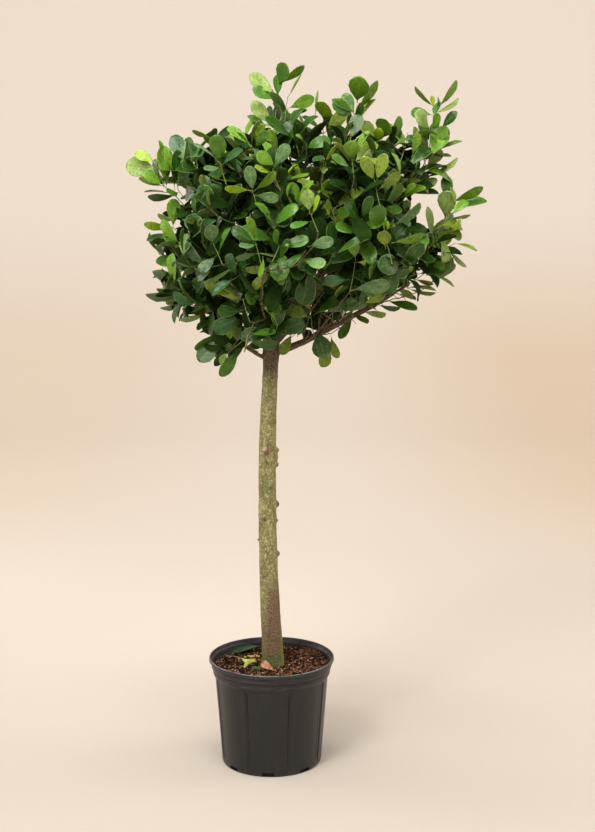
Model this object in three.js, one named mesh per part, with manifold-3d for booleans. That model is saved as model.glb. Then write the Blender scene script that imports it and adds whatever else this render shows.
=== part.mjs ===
// A small-leaved fig grown as a standard: a clear stem with a bushy head, in a black nursery pot.
// Millimetres, +Z up, -Y to the front. The origin is the middle of the pot's flat underside.
import * as THREE from "three";
import { mergeVertices } from "three/addons/utils/BufferGeometryUtils.js";
import Module from "manifold-3d";

// ---- Driving dimensions ----------------------------------------------------------------------

const GAP = 0.4; // left between pieces that meet

const POT = {
  height: 235,
  lipRadius: 136,
  bandRadius: 130.5,
  shoulderRadius: 123, // the body just under the band
  baseRadius: 109,
  wall: 2.4,
  floor: 3.5,
  panels: 8,
  grooveDepth: 1.6,
  turn: THREE.MathUtils.degToRad(-3), // of the panels, about the pot's axis
  slot: { width: 22, height: 6.5, low: 2.2, depth: 18 },
};
const POT_SEGMENTS = 4 * POT.panels;

const SOIL = { level: 214, dip: 2 }; // the level at the wall, and how far it falls towards the stem

const TRUNK = {
  sides: 14,
  steps: 16,
  // height, sideways shift and radius: a flared foot, a slight bow, and a swelling where it forks
  stations: [
    [213, 2, 25.5],
    [232, 2, 23.6],
    [270, 1.5, 22.9],
    [330, -2, 21.8],
    [405, -5, 21],
    [440, -6, 20],
    [520, -7.5, 19.8],
    [640, -8, 19],
    [740, -6.5, 18.2],
    [830, -2, 16.6],
    [880, 0, 16.8],
    [912, 1, 18.6],
    [934, 2, 13],
  ],
  flare: 4.5,
  flareReach: 16,
};

// Stumps of pruned side shoots: height, turn about the stem in degrees (0 faces front), radius, length.
const KNOTS = [
  [692, -15, 7.5, 3.5],
  [691, 84, 4.8, 6.5],
  [676, 84, 4.4, 3.5],
  [660, 82, 4.6, 6],
  [573, 86, 5, 7],
  [538, 88, 3, 4],
  [544, -23, 4, 2],
  [495, -90, 2.8, 5],
  [464, 92, 3.6, 6],
];

const LIMB_SIDES = 6;
// Each limb: where it runs, its radius at the foot and at the tip, and the mass that it enters.
const BOUGHS = {
  bough_right_low: {
    route: [[6, -2, 899], [62, -14, 921], [146, -20, 966], [219, -16, 1004], [271, -8, 1037], [335, 0, 1085]],
    radii: [8.5, 5],
    into: "foliage_right_low",
  },
  bough_left_low: {
    route: [[-4, -4, 884], [-32, -8, 900], [-62, -10, 922], [-105, -6, 965], [-160, 0, 1030]],
    radii: [5, 3.2],
    into: "foliage_left_low",
  },
  bough_left: {
    route: [[-1, 2, 914], [-24, 6, 975], [-62, 8, 1050], [-110, 6, 1115], [-165, 0, 1165]],
    radii: [8.5, 5],
    into: "foliage_left_mid",
  },
  bough_left_high: {
    route: [[0, 6, 920], [-10, 16, 1000], [-28, 14, 1100], [-60, 6, 1210], [-140, 0, 1270]],
    radii: [7.5, 4.5],
    into: "foliage_left_high",
  },
  bough_front_left: {
    route: [[-2, -4, 912], [-20, -30, 975], [-44, -62, 1055], [-70, -110, 1110], [-95, -150, 1150]],
    radii: [7.5, 4.5],
    into: "foliage_front_left",
  },
  bough_front_low: {
    route: [[2, -8, 904], [0, -38, 940], [-8, -80, 968], [-20, -125, 995]],
    radii: [5.5, 3.5],
    into: "foliage_front_low",
  },
  bough_front: {
    route: [[4, -6, 920], [26, -34, 1000], [44, -66, 1080], [56, -130, 1140], [62, -190, 1170]],
    radii: [8, 4.5],
    into: "foliage_front",
  },
  bough_front_right: {
    route: [[8, -4, 916], [52, -26, 985], [100, -56, 1060], [160, -110, 1120], [215, -150, 1160]],
    radii: [8, 4.5],
    into: "foliage_front_right",
  },
  bough_leader: {
    route: [[3, 0, 928], [18, -2, 1010], [32, 0, 1110], [44, 0, 1220], [40, 0, 1345]],
    radii: [9, 5],
    into: "foliage_top_left",
  },
  bough_top_right: {
    route: [[6, 3, 924], [44, 6, 1000], [84, 6, 1090], [130, 4, 1190], [185, 0, 1340]],
    radii: [8, 4.5],
    into: "foliage_top_right",
  },
  bough_right: {
    route: [[8, 2, 918], [58, 12, 975], [118, 16, 1050], [185, 12, 1130], [310, 0, 1200]],
    radii: [8.5, 5],
    into: "foliage_right_mid",
  },
  bough_back_right: {
    route: [[6, 6, 912], [46, 34, 975], [92, 74, 1045], [150, 120, 1110], [210, 160, 1150]],
    radii: [8, 4.5],
    into: "foliage_back_right",
  },
  bough_back: {
    route: [[2, 8, 918], [16, 36, 990], [34, 72, 1070], [50, 130, 1140], [60, 180, 1180]],
    radii: [8, 4.5],
    into: "foliage_back",
  },
  bough_back_left: {
    route: [[-2, 6, 906], [-26, 34, 965], [-52, 70, 1035], [-80, 115, 1090], [-105, 150, 1130]],
    radii: [7.5, 4.5],
    into: "foliage_back_left",
  },
};

// The open heart of the head, where the limbs part: a line from the fork upwards, and a reach round it.
const HEART = { low: [0, 0, 900], high: [84, 0, 1190], reach: 66 };

// Each mass of leaves: its middle and its half sizes.
const MASSES = {
  foliage_top_left: [[25, 0, 1345], [105, 100, 78]],
  foliage_tip_top: [[12, -4, 1438], [54, 44, 58]],
  foliage_top_right: [[165, 0, 1340], [88, 100, 80]],
  foliage_tip_middle: [[192, -6, 1424], [36, 34, 44]],
  foliage_right_high: [[288, 0, 1290], [102, 100, 95]],
  foliage_tip_right: [[346, 0, 1402], [54, 46, 58]],
  foliage_right_mid: [[318, 0, 1185], [102, 105, 88]],
  foliage_tip_far_right: [[404, -6, 1208], [50, 42, 62]],
  foliage_right_low: [[308, -4, 1078], [110, 95, 62]],
  foliage_under_right: [[182, -10, 1072], [100, 90, 78]],
  foliage_hanging: [[112, -26, 910], [40, 34, 50]],
  foliage_under_left: [[-88, -8, 924], [70, 75, 80]],
  foliage_left_low: [[-162, 0, 1034], [100, 95, 82]],
  foliage_left_mid: [[-168, 0, 1160], [88, 100, 88]],
  foliage_left_high: [[-128, 0, 1285], [98, 100, 92]],
  foliage_tip_left: [[-238, -6, 1288], [62, 46, 54]],
  foliage_front_high_left: [[-42, -165, 1262], [100, 95, 98]],
  foliage_front_high_right: [[168, -168, 1262], [105, 95, 98]],
  foliage_front_left: [[-100, -160, 1125], [98, 95, 95]],
  foliage_front: [[52, -212, 1150], [100, 88, 100]],
  foliage_front_right: [[222, -168, 1128], [102, 92, 92]],
  foliage_front_low: [[-18, -130, 1000], [95, 90, 84]],
  foliage_back_high_left: [[-40, 160, 1262], [102, 95, 98]],
  foliage_back_high_right: [[170, 162, 1266], [106, 95, 96]],
  foliage_back_left: [[-105, 158, 1122], [98, 95, 95]],
  foliage_back: [[56, 208, 1150], [102, 86, 98]],
  foliage_back_right: [[222, 165, 1130], [102, 92, 92]],
  foliage_back_low: [[10, 135, 1004], [105, 88, 84]],
};
const TIP_SIZE = 60; // a mass smaller than this is one tip spray, and needs fewer faces
const MASS_DETAIL = { tip: 1, full: 2 }; // how often the faces of the starting icosahedron are cut
const UNEVEN = 0.13; // how far a mass swells and dips, as a share of its size

// ---- Solids ----------------------------------------------------------------------------------

const wasm = await Module();
wasm.setup();

/** A closed geometry as a solid that can be joined and cut. */
function solidOf(geometry) {
  const bare = new THREE.BufferGeometry().setAttribute("position", geometry.getAttribute("position"));
  if (geometry.index) bare.setIndex(geometry.index);
  const merged = mergeVertices(bare, 1e-3);
  return new wasm.Manifold(
    new wasm.Mesh({
      numProp: 3,
      vertProperties: merged.attributes.position.array,
      triVerts: new Uint32Array(merged.index.array),
    }),
  );
}

/** The largest single body of a solid, as a geometry. */
function geometryOf(solid) {
  const largest = solid.decompose().reduce((a, b) => (b.volume() > a.volume() ? b : a));
  const mesh = largest.getMesh();
  const positions = new Float32Array(mesh.numVert * 3);
  for (let i = 0; i < mesh.numVert; i++)
    positions.set(mesh.vertProperties.subarray(i * mesh.numProp, i * mesh.numProp + 3), i * 3);
  return new THREE.BufferGeometry()
    .setAttribute("position", new THREE.BufferAttribute(positions, 3))
    .setIndex(new THREE.BufferAttribute(mesh.triVerts, 1));
}

/** Moves each corner of a geometry to where `to` puts it. */
function reshape(geometry, to) {
  const position = geometry.getAttribute("position");
  const corner = new THREE.Vector3();
  for (let i = 0; i < position.count; i++) {
    to(corner.fromBufferAttribute(position, i));
    position.setXYZ(i, corner.x, corner.y, corner.z);
  }
  return geometry;
}

/** A profile of [radius, height] pairs spun about Z. Angle 0 faces front. */
function spun(profile, segments) {
  const points = profile.map(([radius, height]) => new THREE.Vector2(radius, height));
  return new THREE.LatheGeometry(points, segments).rotateX(Math.PI / 2);
}

// ---- Pot -------------------------------------------------------------------------------------

/** The moulded wall from the middle of the underside, up the outside, over the lip and down inside. */
function potProfile() {
  const { height, lipRadius, bandRadius, shoulderRadius, baseRadius, wall, floor } = POT;
  const bandLow = height - 38;
  const bandStep = height - 24;
  const lipLow = height - 8;
  return [
    [0, 0],
    [baseRadius - 4, 0],
    [baseRadius - 0.8, 3],
    [baseRadius, 12],
    [shoulderRadius, bandLow - 3],
    [bandRadius - 4, bandLow],
    [bandRadius - 3, bandStep],
    [bandRadius, bandStep + 2],
    [bandRadius + 1, lipLow - 1],
    [lipRadius, lipLow + 1],
    [lipRadius, height - 2],
    [lipRadius - 2, height],
    [lipRadius - 4.5, height - 0.5],
    [bandRadius + 1 - wall, lipLow - 3],
    [bandRadius - 3 - wall, bandStep],
    [shoulderRadius - wall, bandLow - 4],
    [baseRadius - wall, 13],
    [baseRadius - wall - 3, floor],
    [0, floor],
  ];
}

/** Presses the upright grooves between the panels into the body, inside and out. */
function pressGrooves(geometry) {
  const panel = (2 * Math.PI) / POT.panels;
  const foot = 10;
  const top = POT.height - 40;
  return reshape(geometry, (corner) => {
    const angle = Math.atan2(corner.x, -corner.y);
    const fromGroove = Math.abs(THREE.MathUtils.euclideanModulo(angle, panel) - panel / 2);
    if (fromGroove > 0.02 || corner.z < foot || corner.z > top) return;
    const radius = Math.hypot(corner.x, corner.y);
    const pressed = (radius - POT.grooveDepth) / radius;
    corner.x *= pressed;
    corner.y *= pressed;
  });
}

/** One drainage slot through the foot of the wall, as the block that cuts it. */
function drainSlot(angle) {
  const { width, height, low, depth } = POT.slot;
  return new THREE.BoxGeometry(width, depth, height)
    .translate(0, -POT.baseRadius, low + height / 2)
    .rotateZ(angle);
}

function potGeometry() {
  let pot = solidOf(pressGrooves(spun(potProfile(), POT_SEGMENTS)));
  for (let i = 0; i < POT.panels; i++) {
    const slot = drainSlot((i * 2 * Math.PI) / POT.panels);
    pot = pot.subtract(solidOf(slot));
  }
  return geometryOf(pot).rotateZ(POT.turn);
}

// ---- Potting mix -----------------------------------------------------------------------------

/** A block of potting mix that fills the pot to below its lip, a little hollow round the stem. */
function soilGeometry() {
  const inside = POT.wall + POT.grooveDepth + GAP;
  const { level, dip } = SOIL;
  return spun(
    [
      [0, POT.floor + GAP],
      [POT.baseRadius - inside - 5, POT.floor + GAP],
      [POT.baseRadius - inside, 16],
      [POT.shoulderRadius - inside, POT.height - 40],
      [POT.bandRadius - 4 - POT.wall, level],
      [POT.bandRadius - 34, level - dip / 2],
      [42, level - dip],
      [0, level - dip],
    ],
    POT_SEGMENTS,
  ).rotateZ(POT.turn);
}

// ---- Trunk and boughs ------------------------------------------------------------------------

const trunkLine = new THREE.CatmullRomCurve3(
  TRUNK.stations.map(([height, shift, radius]) => new THREE.Vector3(shift, radius, height)),
);

/** The trunk's height, sideways shift and radius, a share of the way through its stations. */
function trunkAt(share) {
  const { x: shift, y: radius, z: height } = trunkLine.getPoint(share);
  return { shift, radius, height };
}

/** The same at a height, found by halving. */
function trunkAtHeight(height) {
  let [low, high] = [0, 1];
  while (high - low > 1e-3) {
    const middle = (low + high) / 2;
    if (trunkAt(middle).height < height) low = middle;
    else high = middle;
  }
  return trunkAt(low);
}

/** The stem, cut flat where it meets the potting mix. `extra` fattens it all over. */
function trunkSolid(extra = 0) {
  const foot = TRUNK.stations[0][0];
  const column = new THREE.CylinderGeometry(1, 1, 1, TRUNK.sides, TRUNK.steps);
  reshape(column, (corner) => {
    const { shift, radius, height } = trunkAt(corner.y + 0.5);
    const angle = Math.atan2(corner.x, corner.z);
    const roots = 0.5 + 0.5 * Math.cos(3 * angle + 1); // three buttresses round the foot
    const flare = TRUNK.flare * Math.exp((foot - height) / TRUNK.flareReach) * roots;
    const around = Math.hypot(corner.x, corner.z) * (radius + flare + extra);
    corner.set(shift + around * Math.sin(angle), -around * Math.cos(angle), height);
  });
  return solidOf(column);
}

/** A stump of a pruned shoot: a rounded peg set in the stem. */
function knotSolid([height, degrees, radius, length]) {
  const { shift, radius: stem } = trunkAtHeight(height);
  const rooted = 3; // how deep the middle of the peg lies in the stem
  const peg = new THREE.SphereGeometry(1, 6, 4)
    .scale(radius, length + rooted, radius)
    .translate(0, rooted - stem, 0)
    .rotateZ(THREE.MathUtils.degToRad(degrees))
    .translate(shift, 0, height);
  return solidOf(peg);
}

/** A tapering round limb along a smooth curve through its route. `extra` fattens it all over. */
function boughSolid({ route, radii }, extra = 0) {
  const curve = new THREE.CatmullRomCurve3(route.map((point) => new THREE.Vector3(...point)));
  const steps = 2 * route.length - 1;
  const { normals, binormals } = curve.computeFrenetFrames(steps);
  const limb = new THREE.CylinderGeometry(1, 1, 1, LIMB_SIDES, steps);
  reshape(limb, (corner) => {
    const share = corner.y + 0.5;
    const step = Math.round(share * steps);
    const radius = THREE.MathUtils.lerp(radii[0], radii[1], share) + extra;
    const { x, z } = corner;
    curve.getPointAt(share, corner);
    corner.addScaledVector(binormals[step], x * radius).addScaledVector(normals[step], z * radius);
  });
  return solidOf(limb);
}

// ---- Foliage ---------------------------------------------------------------------------------

/** The radius of the ball that holds as much as a mass with these half sizes. */
const sizeOf = (half) => Math.cbrt(half[0] * half[1] * half[2]);

/** Planes that hold a mass clear of the other masses and of the heart, as [unit normal, distance]. */
function wallsAround(name) {
  const [middle, half] = MASSES[name];
  const from = new THREE.Vector3(...middle);
  const size = sizeOf(half);
  const walls = [];
  for (const [other, [otherMiddle, otherHalf]] of Object.entries(MASSES)) {
    if (other === name) continue;
    const towards = new THREE.Vector3(...otherMiddle).sub(from);
    const apart = towards.length();
    const otherSize = sizeOf(otherHalf);
    const share = (apart * apart + size * size - otherSize * otherSize) / (2 * apart);
    walls.push([towards.normalize(), share - GAP]);
  }
  const heart = new THREE.Line3(new THREE.Vector3(...HEART.low), new THREE.Vector3(...HEART.high));
  const inwards = heart.closestPointToPoint(from, true, new THREE.Vector3()).sub(from);
  const toHeart = inwards.length();
  walls.push([inwards.normalize(), toHeart - HEART.reach]);
  return walls;
}

/** A smooth unevenness over the directions of space, from -1 to 1, unlike for each seed. */
function unevenness({ x, y, z }, seed) {
  const slow =
    Math.sin(3.1 * x + 1.9 * seed) + Math.sin(2.7 * y - 2.3 * seed) + Math.sin(3.4 * z + 4.1 * seed);
  const quick = Math.sin(6.3 * x - seed) * Math.sin(5.7 * y + seed) * Math.sin(6.1 * z + 2 * seed);
  return slow / 4 + quick / 4;
}

/** One mass: an uneven ball, flattened where it meets its neighbours. `extra` fattens it all over. */
function massSolid(name, extra = 0) {
  const [middle, half] = MASSES[name];
  const seed = Object.keys(MASSES).indexOf(name);
  const walls = wallsAround(name);
  const detail = sizeOf(half) < TIP_SIZE ? MASS_DETAIL.tip : MASS_DETAIL.full;
  const ball = new THREE.IcosahedronGeometry(1, detail);
  reshape(ball, (corner) => {
    const way = corner.clone().normalize();
    const round = 1 / Math.hypot(way.x / half[0], way.y / half[1], way.z / half[2]);
    let reach = round * (1 + UNEVEN * unevenness(way, seed));
    for (const [normal, distance] of walls) {
      const facing = way.dot(normal);
      if (facing > 1e-3) reach = Math.min(reach, distance / facing);
    }
    corner.copy(way).multiplyScalar(reach + extra);
    corner.add(new THREE.Vector3(...middle));
  });
  return solidOf(ball);
}

// ---- Assembly --------------------------------------------------------------------------------

const finish = (color, roughness) => new THREE.MeshStandardMaterial({ color, roughness, metalness: 0 });
const BLACK_PLASTIC = finish(0x2b2a29, 0.55);
const POTTING_MIX = finish(0x3a2318, 0.95);
const STEM_BARK = finish(0x8a8560, 0.85);
const LIMB_BARK = finish(0x5b4632, 0.85);
const LEAVES = finish(0x2f5a22, 0.4);

const plant = new THREE.Group();
function add(name, geometry, material) {
  const mesh = new THREE.Mesh(geometry, material);
  mesh.name = name;
  plant.add(mesh);
}

add("pot", potGeometry(), BLACK_PLASTIC);
add("potting_mix", soilGeometry(), POTTING_MIX);

let trunk = trunkSolid();
for (const knot of KNOTS) trunk = trunk.add(knotSolid(knot));
add("trunk", geometryOf(trunk), STEM_BARK);

// Each limb is cut back from the stem, from the limbs made before it and from the mass that it enters.
const kept = [trunkSolid(GAP)];
for (const [name, bough] of Object.entries(BOUGHS)) {
  let limb = boughSolid(bough).subtract(massSolid(bough.into, GAP));
  for (const other of kept) limb = limb.subtract(other);
  kept.push(boughSolid(bough, GAP).subtract(massSolid(bough.into)));
  add(name, geometryOf(limb), LIMB_BARK);
}

for (const name of Object.keys(MASSES)) {
  let mass = massSolid(name);
  for (const limb of kept) mass = mass.subtract(limb);
  add(name, geometryOf(mass), LEAVES);
}

export default plant;
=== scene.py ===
"""A small-leaved fig grown as a standard, in a black nursery pot. Metres, +Z up, -Y to the front."""
import math

import bmesh
import bpy
import numpy as np
from mathutils import Matrix, Vector, noise
from mathutils.bvhtree import BVHTree


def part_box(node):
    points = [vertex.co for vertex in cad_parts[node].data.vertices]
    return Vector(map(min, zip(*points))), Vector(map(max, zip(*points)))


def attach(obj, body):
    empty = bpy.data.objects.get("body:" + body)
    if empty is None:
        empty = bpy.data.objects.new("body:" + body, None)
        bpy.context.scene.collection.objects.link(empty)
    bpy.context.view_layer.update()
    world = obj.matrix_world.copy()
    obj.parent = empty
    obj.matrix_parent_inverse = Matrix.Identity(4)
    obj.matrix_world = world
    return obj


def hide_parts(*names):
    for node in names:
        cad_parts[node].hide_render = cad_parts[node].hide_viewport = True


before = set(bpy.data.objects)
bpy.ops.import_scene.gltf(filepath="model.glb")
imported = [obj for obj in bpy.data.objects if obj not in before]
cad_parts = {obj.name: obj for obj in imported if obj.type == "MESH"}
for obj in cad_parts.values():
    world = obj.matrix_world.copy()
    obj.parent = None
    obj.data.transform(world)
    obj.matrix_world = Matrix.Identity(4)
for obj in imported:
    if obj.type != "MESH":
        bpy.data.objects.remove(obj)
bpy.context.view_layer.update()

# ---- Camera --------------------------------------------------------------------------------------
# It stands in front of the plant at the height of the head, with a long lens tilted a little down.

MM = 0.001
CAMERA_PLACE = (0.0565, -3.22, 1.312)
CAMERA_TILT = math.radians(9.65)
CAMERA_LENS, CAMERA_SENSOR = 66.63, 36
VIEW_MIDDLE = (297.5, 416)
FOCUS = 1540  # the lens in pixels of a view 832 high

camera_data = bpy.data.cameras.new("camera")
camera_data.lens = CAMERA_LENS
camera_data.sensor_width = CAMERA_SENSOR
camera = bpy.data.objects.new("camera", camera_data)
camera.location = CAMERA_PLACE
camera.rotation_euler = (math.pi / 2 - CAMERA_TILT, 0, 0)
bpy.context.scene.collection.objects.link(camera)
bpy.context.scene.camera = camera


def seen_at(u, v, back):
    """What a pixel of the view shows at a depth: its x and z, and the size of a pixel, in millimetres."""
    right, up = u - VIEW_MIDDLE[0], VIEW_MIDDLE[1] - v
    tilt_cos, tilt_sin = math.cos(CAMERA_TILT), math.sin(CAMERA_TILT)
    pixel = (back - CAMERA_PLACE[1] / MM) / (FOCUS * tilt_cos + up * tilt_sin)
    x = CAMERA_PLACE[0] / MM + pixel * right
    z = CAMERA_PLACE[2] / MM + pixel * (up * tilt_cos - FOCUS * tilt_sin)
    return x, z, pixel


# ---- Floor and light -----------------------------------------------------------------------------
# A round sweep of pale peach paper, flat underfoot and curved up into a wall on every side, lit by
# large soft lamps that the camera doesn't see. Light and shade are painted into the paper's colour:
# it is painted darker near the plant than on the wall, a pool of painted light lies behind the plant,
# and farther out a band of painted warm shade is stronger to the sides and most to the right.

FLOOR_REACH, WALL_REACH, WALL_HEIGHT = 4.0, 7.0, 4.6
# Paper colours. The floor colour is painted shade, darker than the wall's; the next is a painted warm shade;
# the pale one at the spot is a painted pool of light.
WALL_PAPER, SHADED_FLOOR_PAPER = (0.615, 0.56, 0.498), (0.515, 0.458, 0.398)
PAINTED_WARM_SHADE_PAPER, PAINTED_LIGHT_PAPER, PAINTED_LIGHT_SPOT = (0.56, 0.455, 0.352), (0.71, 0.642, 0.562), (0.12, 0.70, 0)


class Wire:
    """A socket of a material. Sums written with it add Math nodes."""

    def __init__(self, finish, socket):
        self.finish = finish
        self.socket = socket

    def math(self, operation, *values):
        return self.finish.node("ShaderNodeMath", {"operation": operation}, dict(enumerate(values)))

    def __add__(self, other):
        return self.math("ADD", self, other)

    __radd__ = __add__

    def __sub__(self, other):
        return self.math("SUBTRACT", self, other)

    def __rsub__(self, other):
        return self.math("SUBTRACT", other, self)

    def __mul__(self, other):
        return self.math("MULTIPLY", self, other)

    __rmul__ = __mul__

    def rise(self, low, high):
        """0 up to low, 1 from high on, and smooth between."""
        sockets = {"Value": self, "From Min": low, "From Max": high}
        return self.finish.node("ShaderNodeMapRange", {"interpolation_type": "SMOOTHSTEP"}, sockets)


class Finish:
    """A material in the making: its shader's plain settings, and the nodes that vary it."""

    def __init__(self, name, **plain):
        self.material = bpy.data.materials.new(name)
        self.material.use_nodes = True
        self.tree = self.material.node_tree
        self.shader = self.tree.nodes["Principled BSDF"]
        for key, value in plain.items():
            self.feed(self.shader.inputs[key.replace("_", " ")], value)

    def feed(self, socket, value):
        if isinstance(value, Wire):
            self.tree.links.new(value.socket, socket)
        elif isinstance(value, tuple) and socket.type == "RGBA":
            socket.default_value = (*value, 1)
        else:
            socket.default_value = value

    def node(self, kind, settings, sockets, out=0):
        made = self.tree.nodes.new(kind)
        for key, value in settings.items():
            setattr(made, key, value)
        for key, value in sockets.items():
            self.feed(made.inputs[key], value)
        return Wire(self, made.outputs[out])

    def place(self):
        return self.node("ShaderNodeTexCoord", {}, {}, out="Object")

    def axis(self, letter):
        return self.node("ShaderNodeSeparateXYZ", {}, {0: self.place()}, out=letter)

    def stretched(self, scale):
        """The place with each axis scaled, so that a pattern draws out along one."""
        settings = {"vector_type": "POINT"}
        return self.node("ShaderNodeMapping", settings, {"Vector": self.place(), "Scale": scale})

    def grain(self, scale, detail=3, rough=0.55, place=None):
        """A cloudy pattern from 0 to 1, with about `scale` clouds to the metre."""
        sockets = {"Vector": place or self.place(), "Scale": scale, "Detail": detail, "Roughness": rough}
        return self.node("ShaderNodeTexNoise", {}, sockets)

    def distance(self, place, other=(0, 0, 0)):
        sockets = {0: place, 1: other}
        return self.node("ShaderNodeVectorMath", {"operation": "DISTANCE"}, sockets, out="Value")

    def mix(self, share, first, second):
        return self.node("ShaderNodeMix", {"data_type": "RGBA"}, {0: share, 6: first, 7: second}, out=2)

    def paint(self, socket, value):
        self.feed(self.shader.inputs[socket], value)

    def emboss(self, height, strength, depth):
        sockets = {"Height": height, "Strength": strength, "Distance": depth}
        self.paint("Normal", self.node("ShaderNodeBump", {}, sockets))


def shown(name, mesh, *finishes):
    """A mesh as an object of the scene, with its materials."""
    for finish in finishes:
        mesh.materials.append(finish.material)
    piece = bpy.data.objects.new(name, mesh)
    bpy.context.scene.collection.objects.link(piece)
    return piece


def mesh_of(name, bm):
    """A finished bmesh as a smooth mesh."""
    mesh = bpy.data.meshes.new(name)
    bm.to_mesh(mesh)
    bm.free()
    mesh.shade_smooth()
    return mesh


def spun(profile, steps):
    """A bmesh of a profile of (radius, height) turned once about Z, with its doubles merged."""
    bm = bmesh.new()
    corners = [bm.verts.new((radius, 0, height)) for radius, height in profile]
    line = [bm.edges.new(pair) for pair in zip(corners, corners[1:])]
    turn = {"cent": (0, 0, 0), "axis": (0, 0, 1), "angle": 2 * math.pi, "use_merge": True}
    bmesh.ops.spin(bm, geom=corners + line, steps=steps, **turn)
    bmesh.ops.remove_doubles(bm, verts=bm.verts, dist=1e-6)
    bmesh.ops.recalc_face_normals(bm, faces=bm.faces)
    return bm


bend = WALL_REACH - FLOOR_REACH
sweep_profile = [(0, 0)]
for i in range(13):
    angle = i / 12 * math.pi / 2
    sweep_profile.append((FLOOR_REACH + bend * math.sin(angle), bend * (1 - math.cos(angle))))
sweep_profile.append((WALL_REACH, WALL_HEIGHT))
paper = Finish("paper", Roughness=0.95)
far = paper.distance(paper.place())
left, right = 1 - paper.axis("X").rise(-1.3, 0.1), paper.axis("X").rise(0.1, 1.3)
# A band of painted warm shade: from about a metre out the paper is tinted darker and warmer, more to the
# sides and most to the right.
painted_warm_shade = far.rise(1.1, 3.0) * (1 - far.rise(5.1, 6.5)) * (0.22 + left * 0.42 + right * 0.78)
# A pool of painted light on the paper behind the plant, lightening the shadow that the plant casts there.
painted_light_pool = 1 - paper.distance(paper.place(), PAINTED_LIGHT_SPOT).rise(0.1, 1.2)
# The paper is painted darker near the plant than farther out: painted shade against the lamps' stronger light
# underfoot.
plain = paper.mix(far.rise(0.55, 1.7), SHADED_FLOOR_PAPER, WALL_PAPER)
paper.paint("Base Color", paper.mix(painted_warm_shade, paper.mix(painted_light_pool, plain, PAINTED_LIGHT_PAPER), PAINTED_WARM_SHADE_PAPER))
sweep = shown("paper_sweep", mesh_of("paper_sweep", spun(sweep_profile, 96)), paper)


def lamp(name, place, aim, size, watts, colour):
    """A square soft lamp at a place, turned to face a point."""
    data = bpy.data.lights.new(name, "AREA")
    data.size = size
    data.energy = watts
    data.color = colour
    made = bpy.data.objects.new(name, data)
    made.location = place
    made.rotation_euler = (Vector(aim) - Vector(place)).to_track_quat("-Z", "Y").to_euler()
    made.visible_camera = False
    bpy.context.scene.collection.objects.link(made)


WARM, PLAIN = (1.0, 0.95, 0.88), (1.0, 0.98, 0.95)
lamp("key_lamp", (-1.4, -2.5, 3.4), (0.05, 0, 1.1), 1.2, 80, PLAIN)
lamp("front_lamp", (1.7, -3.0, 2.2), (0.05, 0, 0.7), 1.4, 13, PLAIN)
lamp("top_lamp", (-0.1, -0.6, 2.9), (0.05, 0, 1.2), 1.2, 50, PLAIN)
lamp("left_rim_lamp", (-3.0, 1.2, 1.7), (0, 0, 0.7), 1.6, 27, WARM)
lamp("right_rim_lamp", (2.8, 0.3, 2.2), (0.2, 0, 1.0), 1.6, 28, WARM)

for i in range(6):
    angle = math.radians(60 * i)
    place = Vector((2.6 * math.sin(angle), 2.6 * math.cos(angle), 4.2))
    lamp(f"wall_lamp_{i + 1}", place, place + Vector((place.x, place.y, -1.3)), 2.2, 108, PLAIN)

world = bpy.data.worlds.new("room")
bpy.context.scene.world = world
world.use_nodes = True
world.node_tree.nodes["Background"].inputs["Color"].default_value = (1.0, 0.96, 0.91, 1)
world.node_tree.nodes["Background"].inputs["Strength"].default_value = 0.5
bpy.context.scene.view_settings.view_transform = "Standard"

# ---- Nursery pot ---------------------------------------------------------------------------------
# A thin pot blown from black polythene: a rolled lip, a stepped band of fine rings under it, eight
# panels parted by upright grooves, and a slot for drainage at the foot of each panel.

_, pot_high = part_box("pot")
POT_HEIGHT = pot_high.z
LIP = pot_high.x
BAND = LIP - 5.5 * MM
SHOULDER = LIP - 13 * MM
FOOT = LIP - 27 * MM
WALL = 2.2 * MM
POT_TURN = math.radians(-3)
POT_PANELS, POT_STEPS = 8, 384
GROOVE_WIDTH, GROOVE_DEPTH = 2.6 * MM, 2.6 * MM
SLOT_WIDTH, SLOT_LOW, SLOT_HIGH = 25 * MM, 1.8 * MM, 9.2 * MM


def ringed(radius, low, high, rings, swell):
    """A stretch of the wall with fine rings round it, from low to high."""
    steps = 6 * rings
    return [
        (radius + swell * math.sin(2 * math.pi * rings * i / steps), low + (high - low) * i / steps)
        for i in range(steps + 1)
    ]


def below(depth):
    """The height that far under the lip."""
    return POT_HEIGHT - depth * MM


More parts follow.
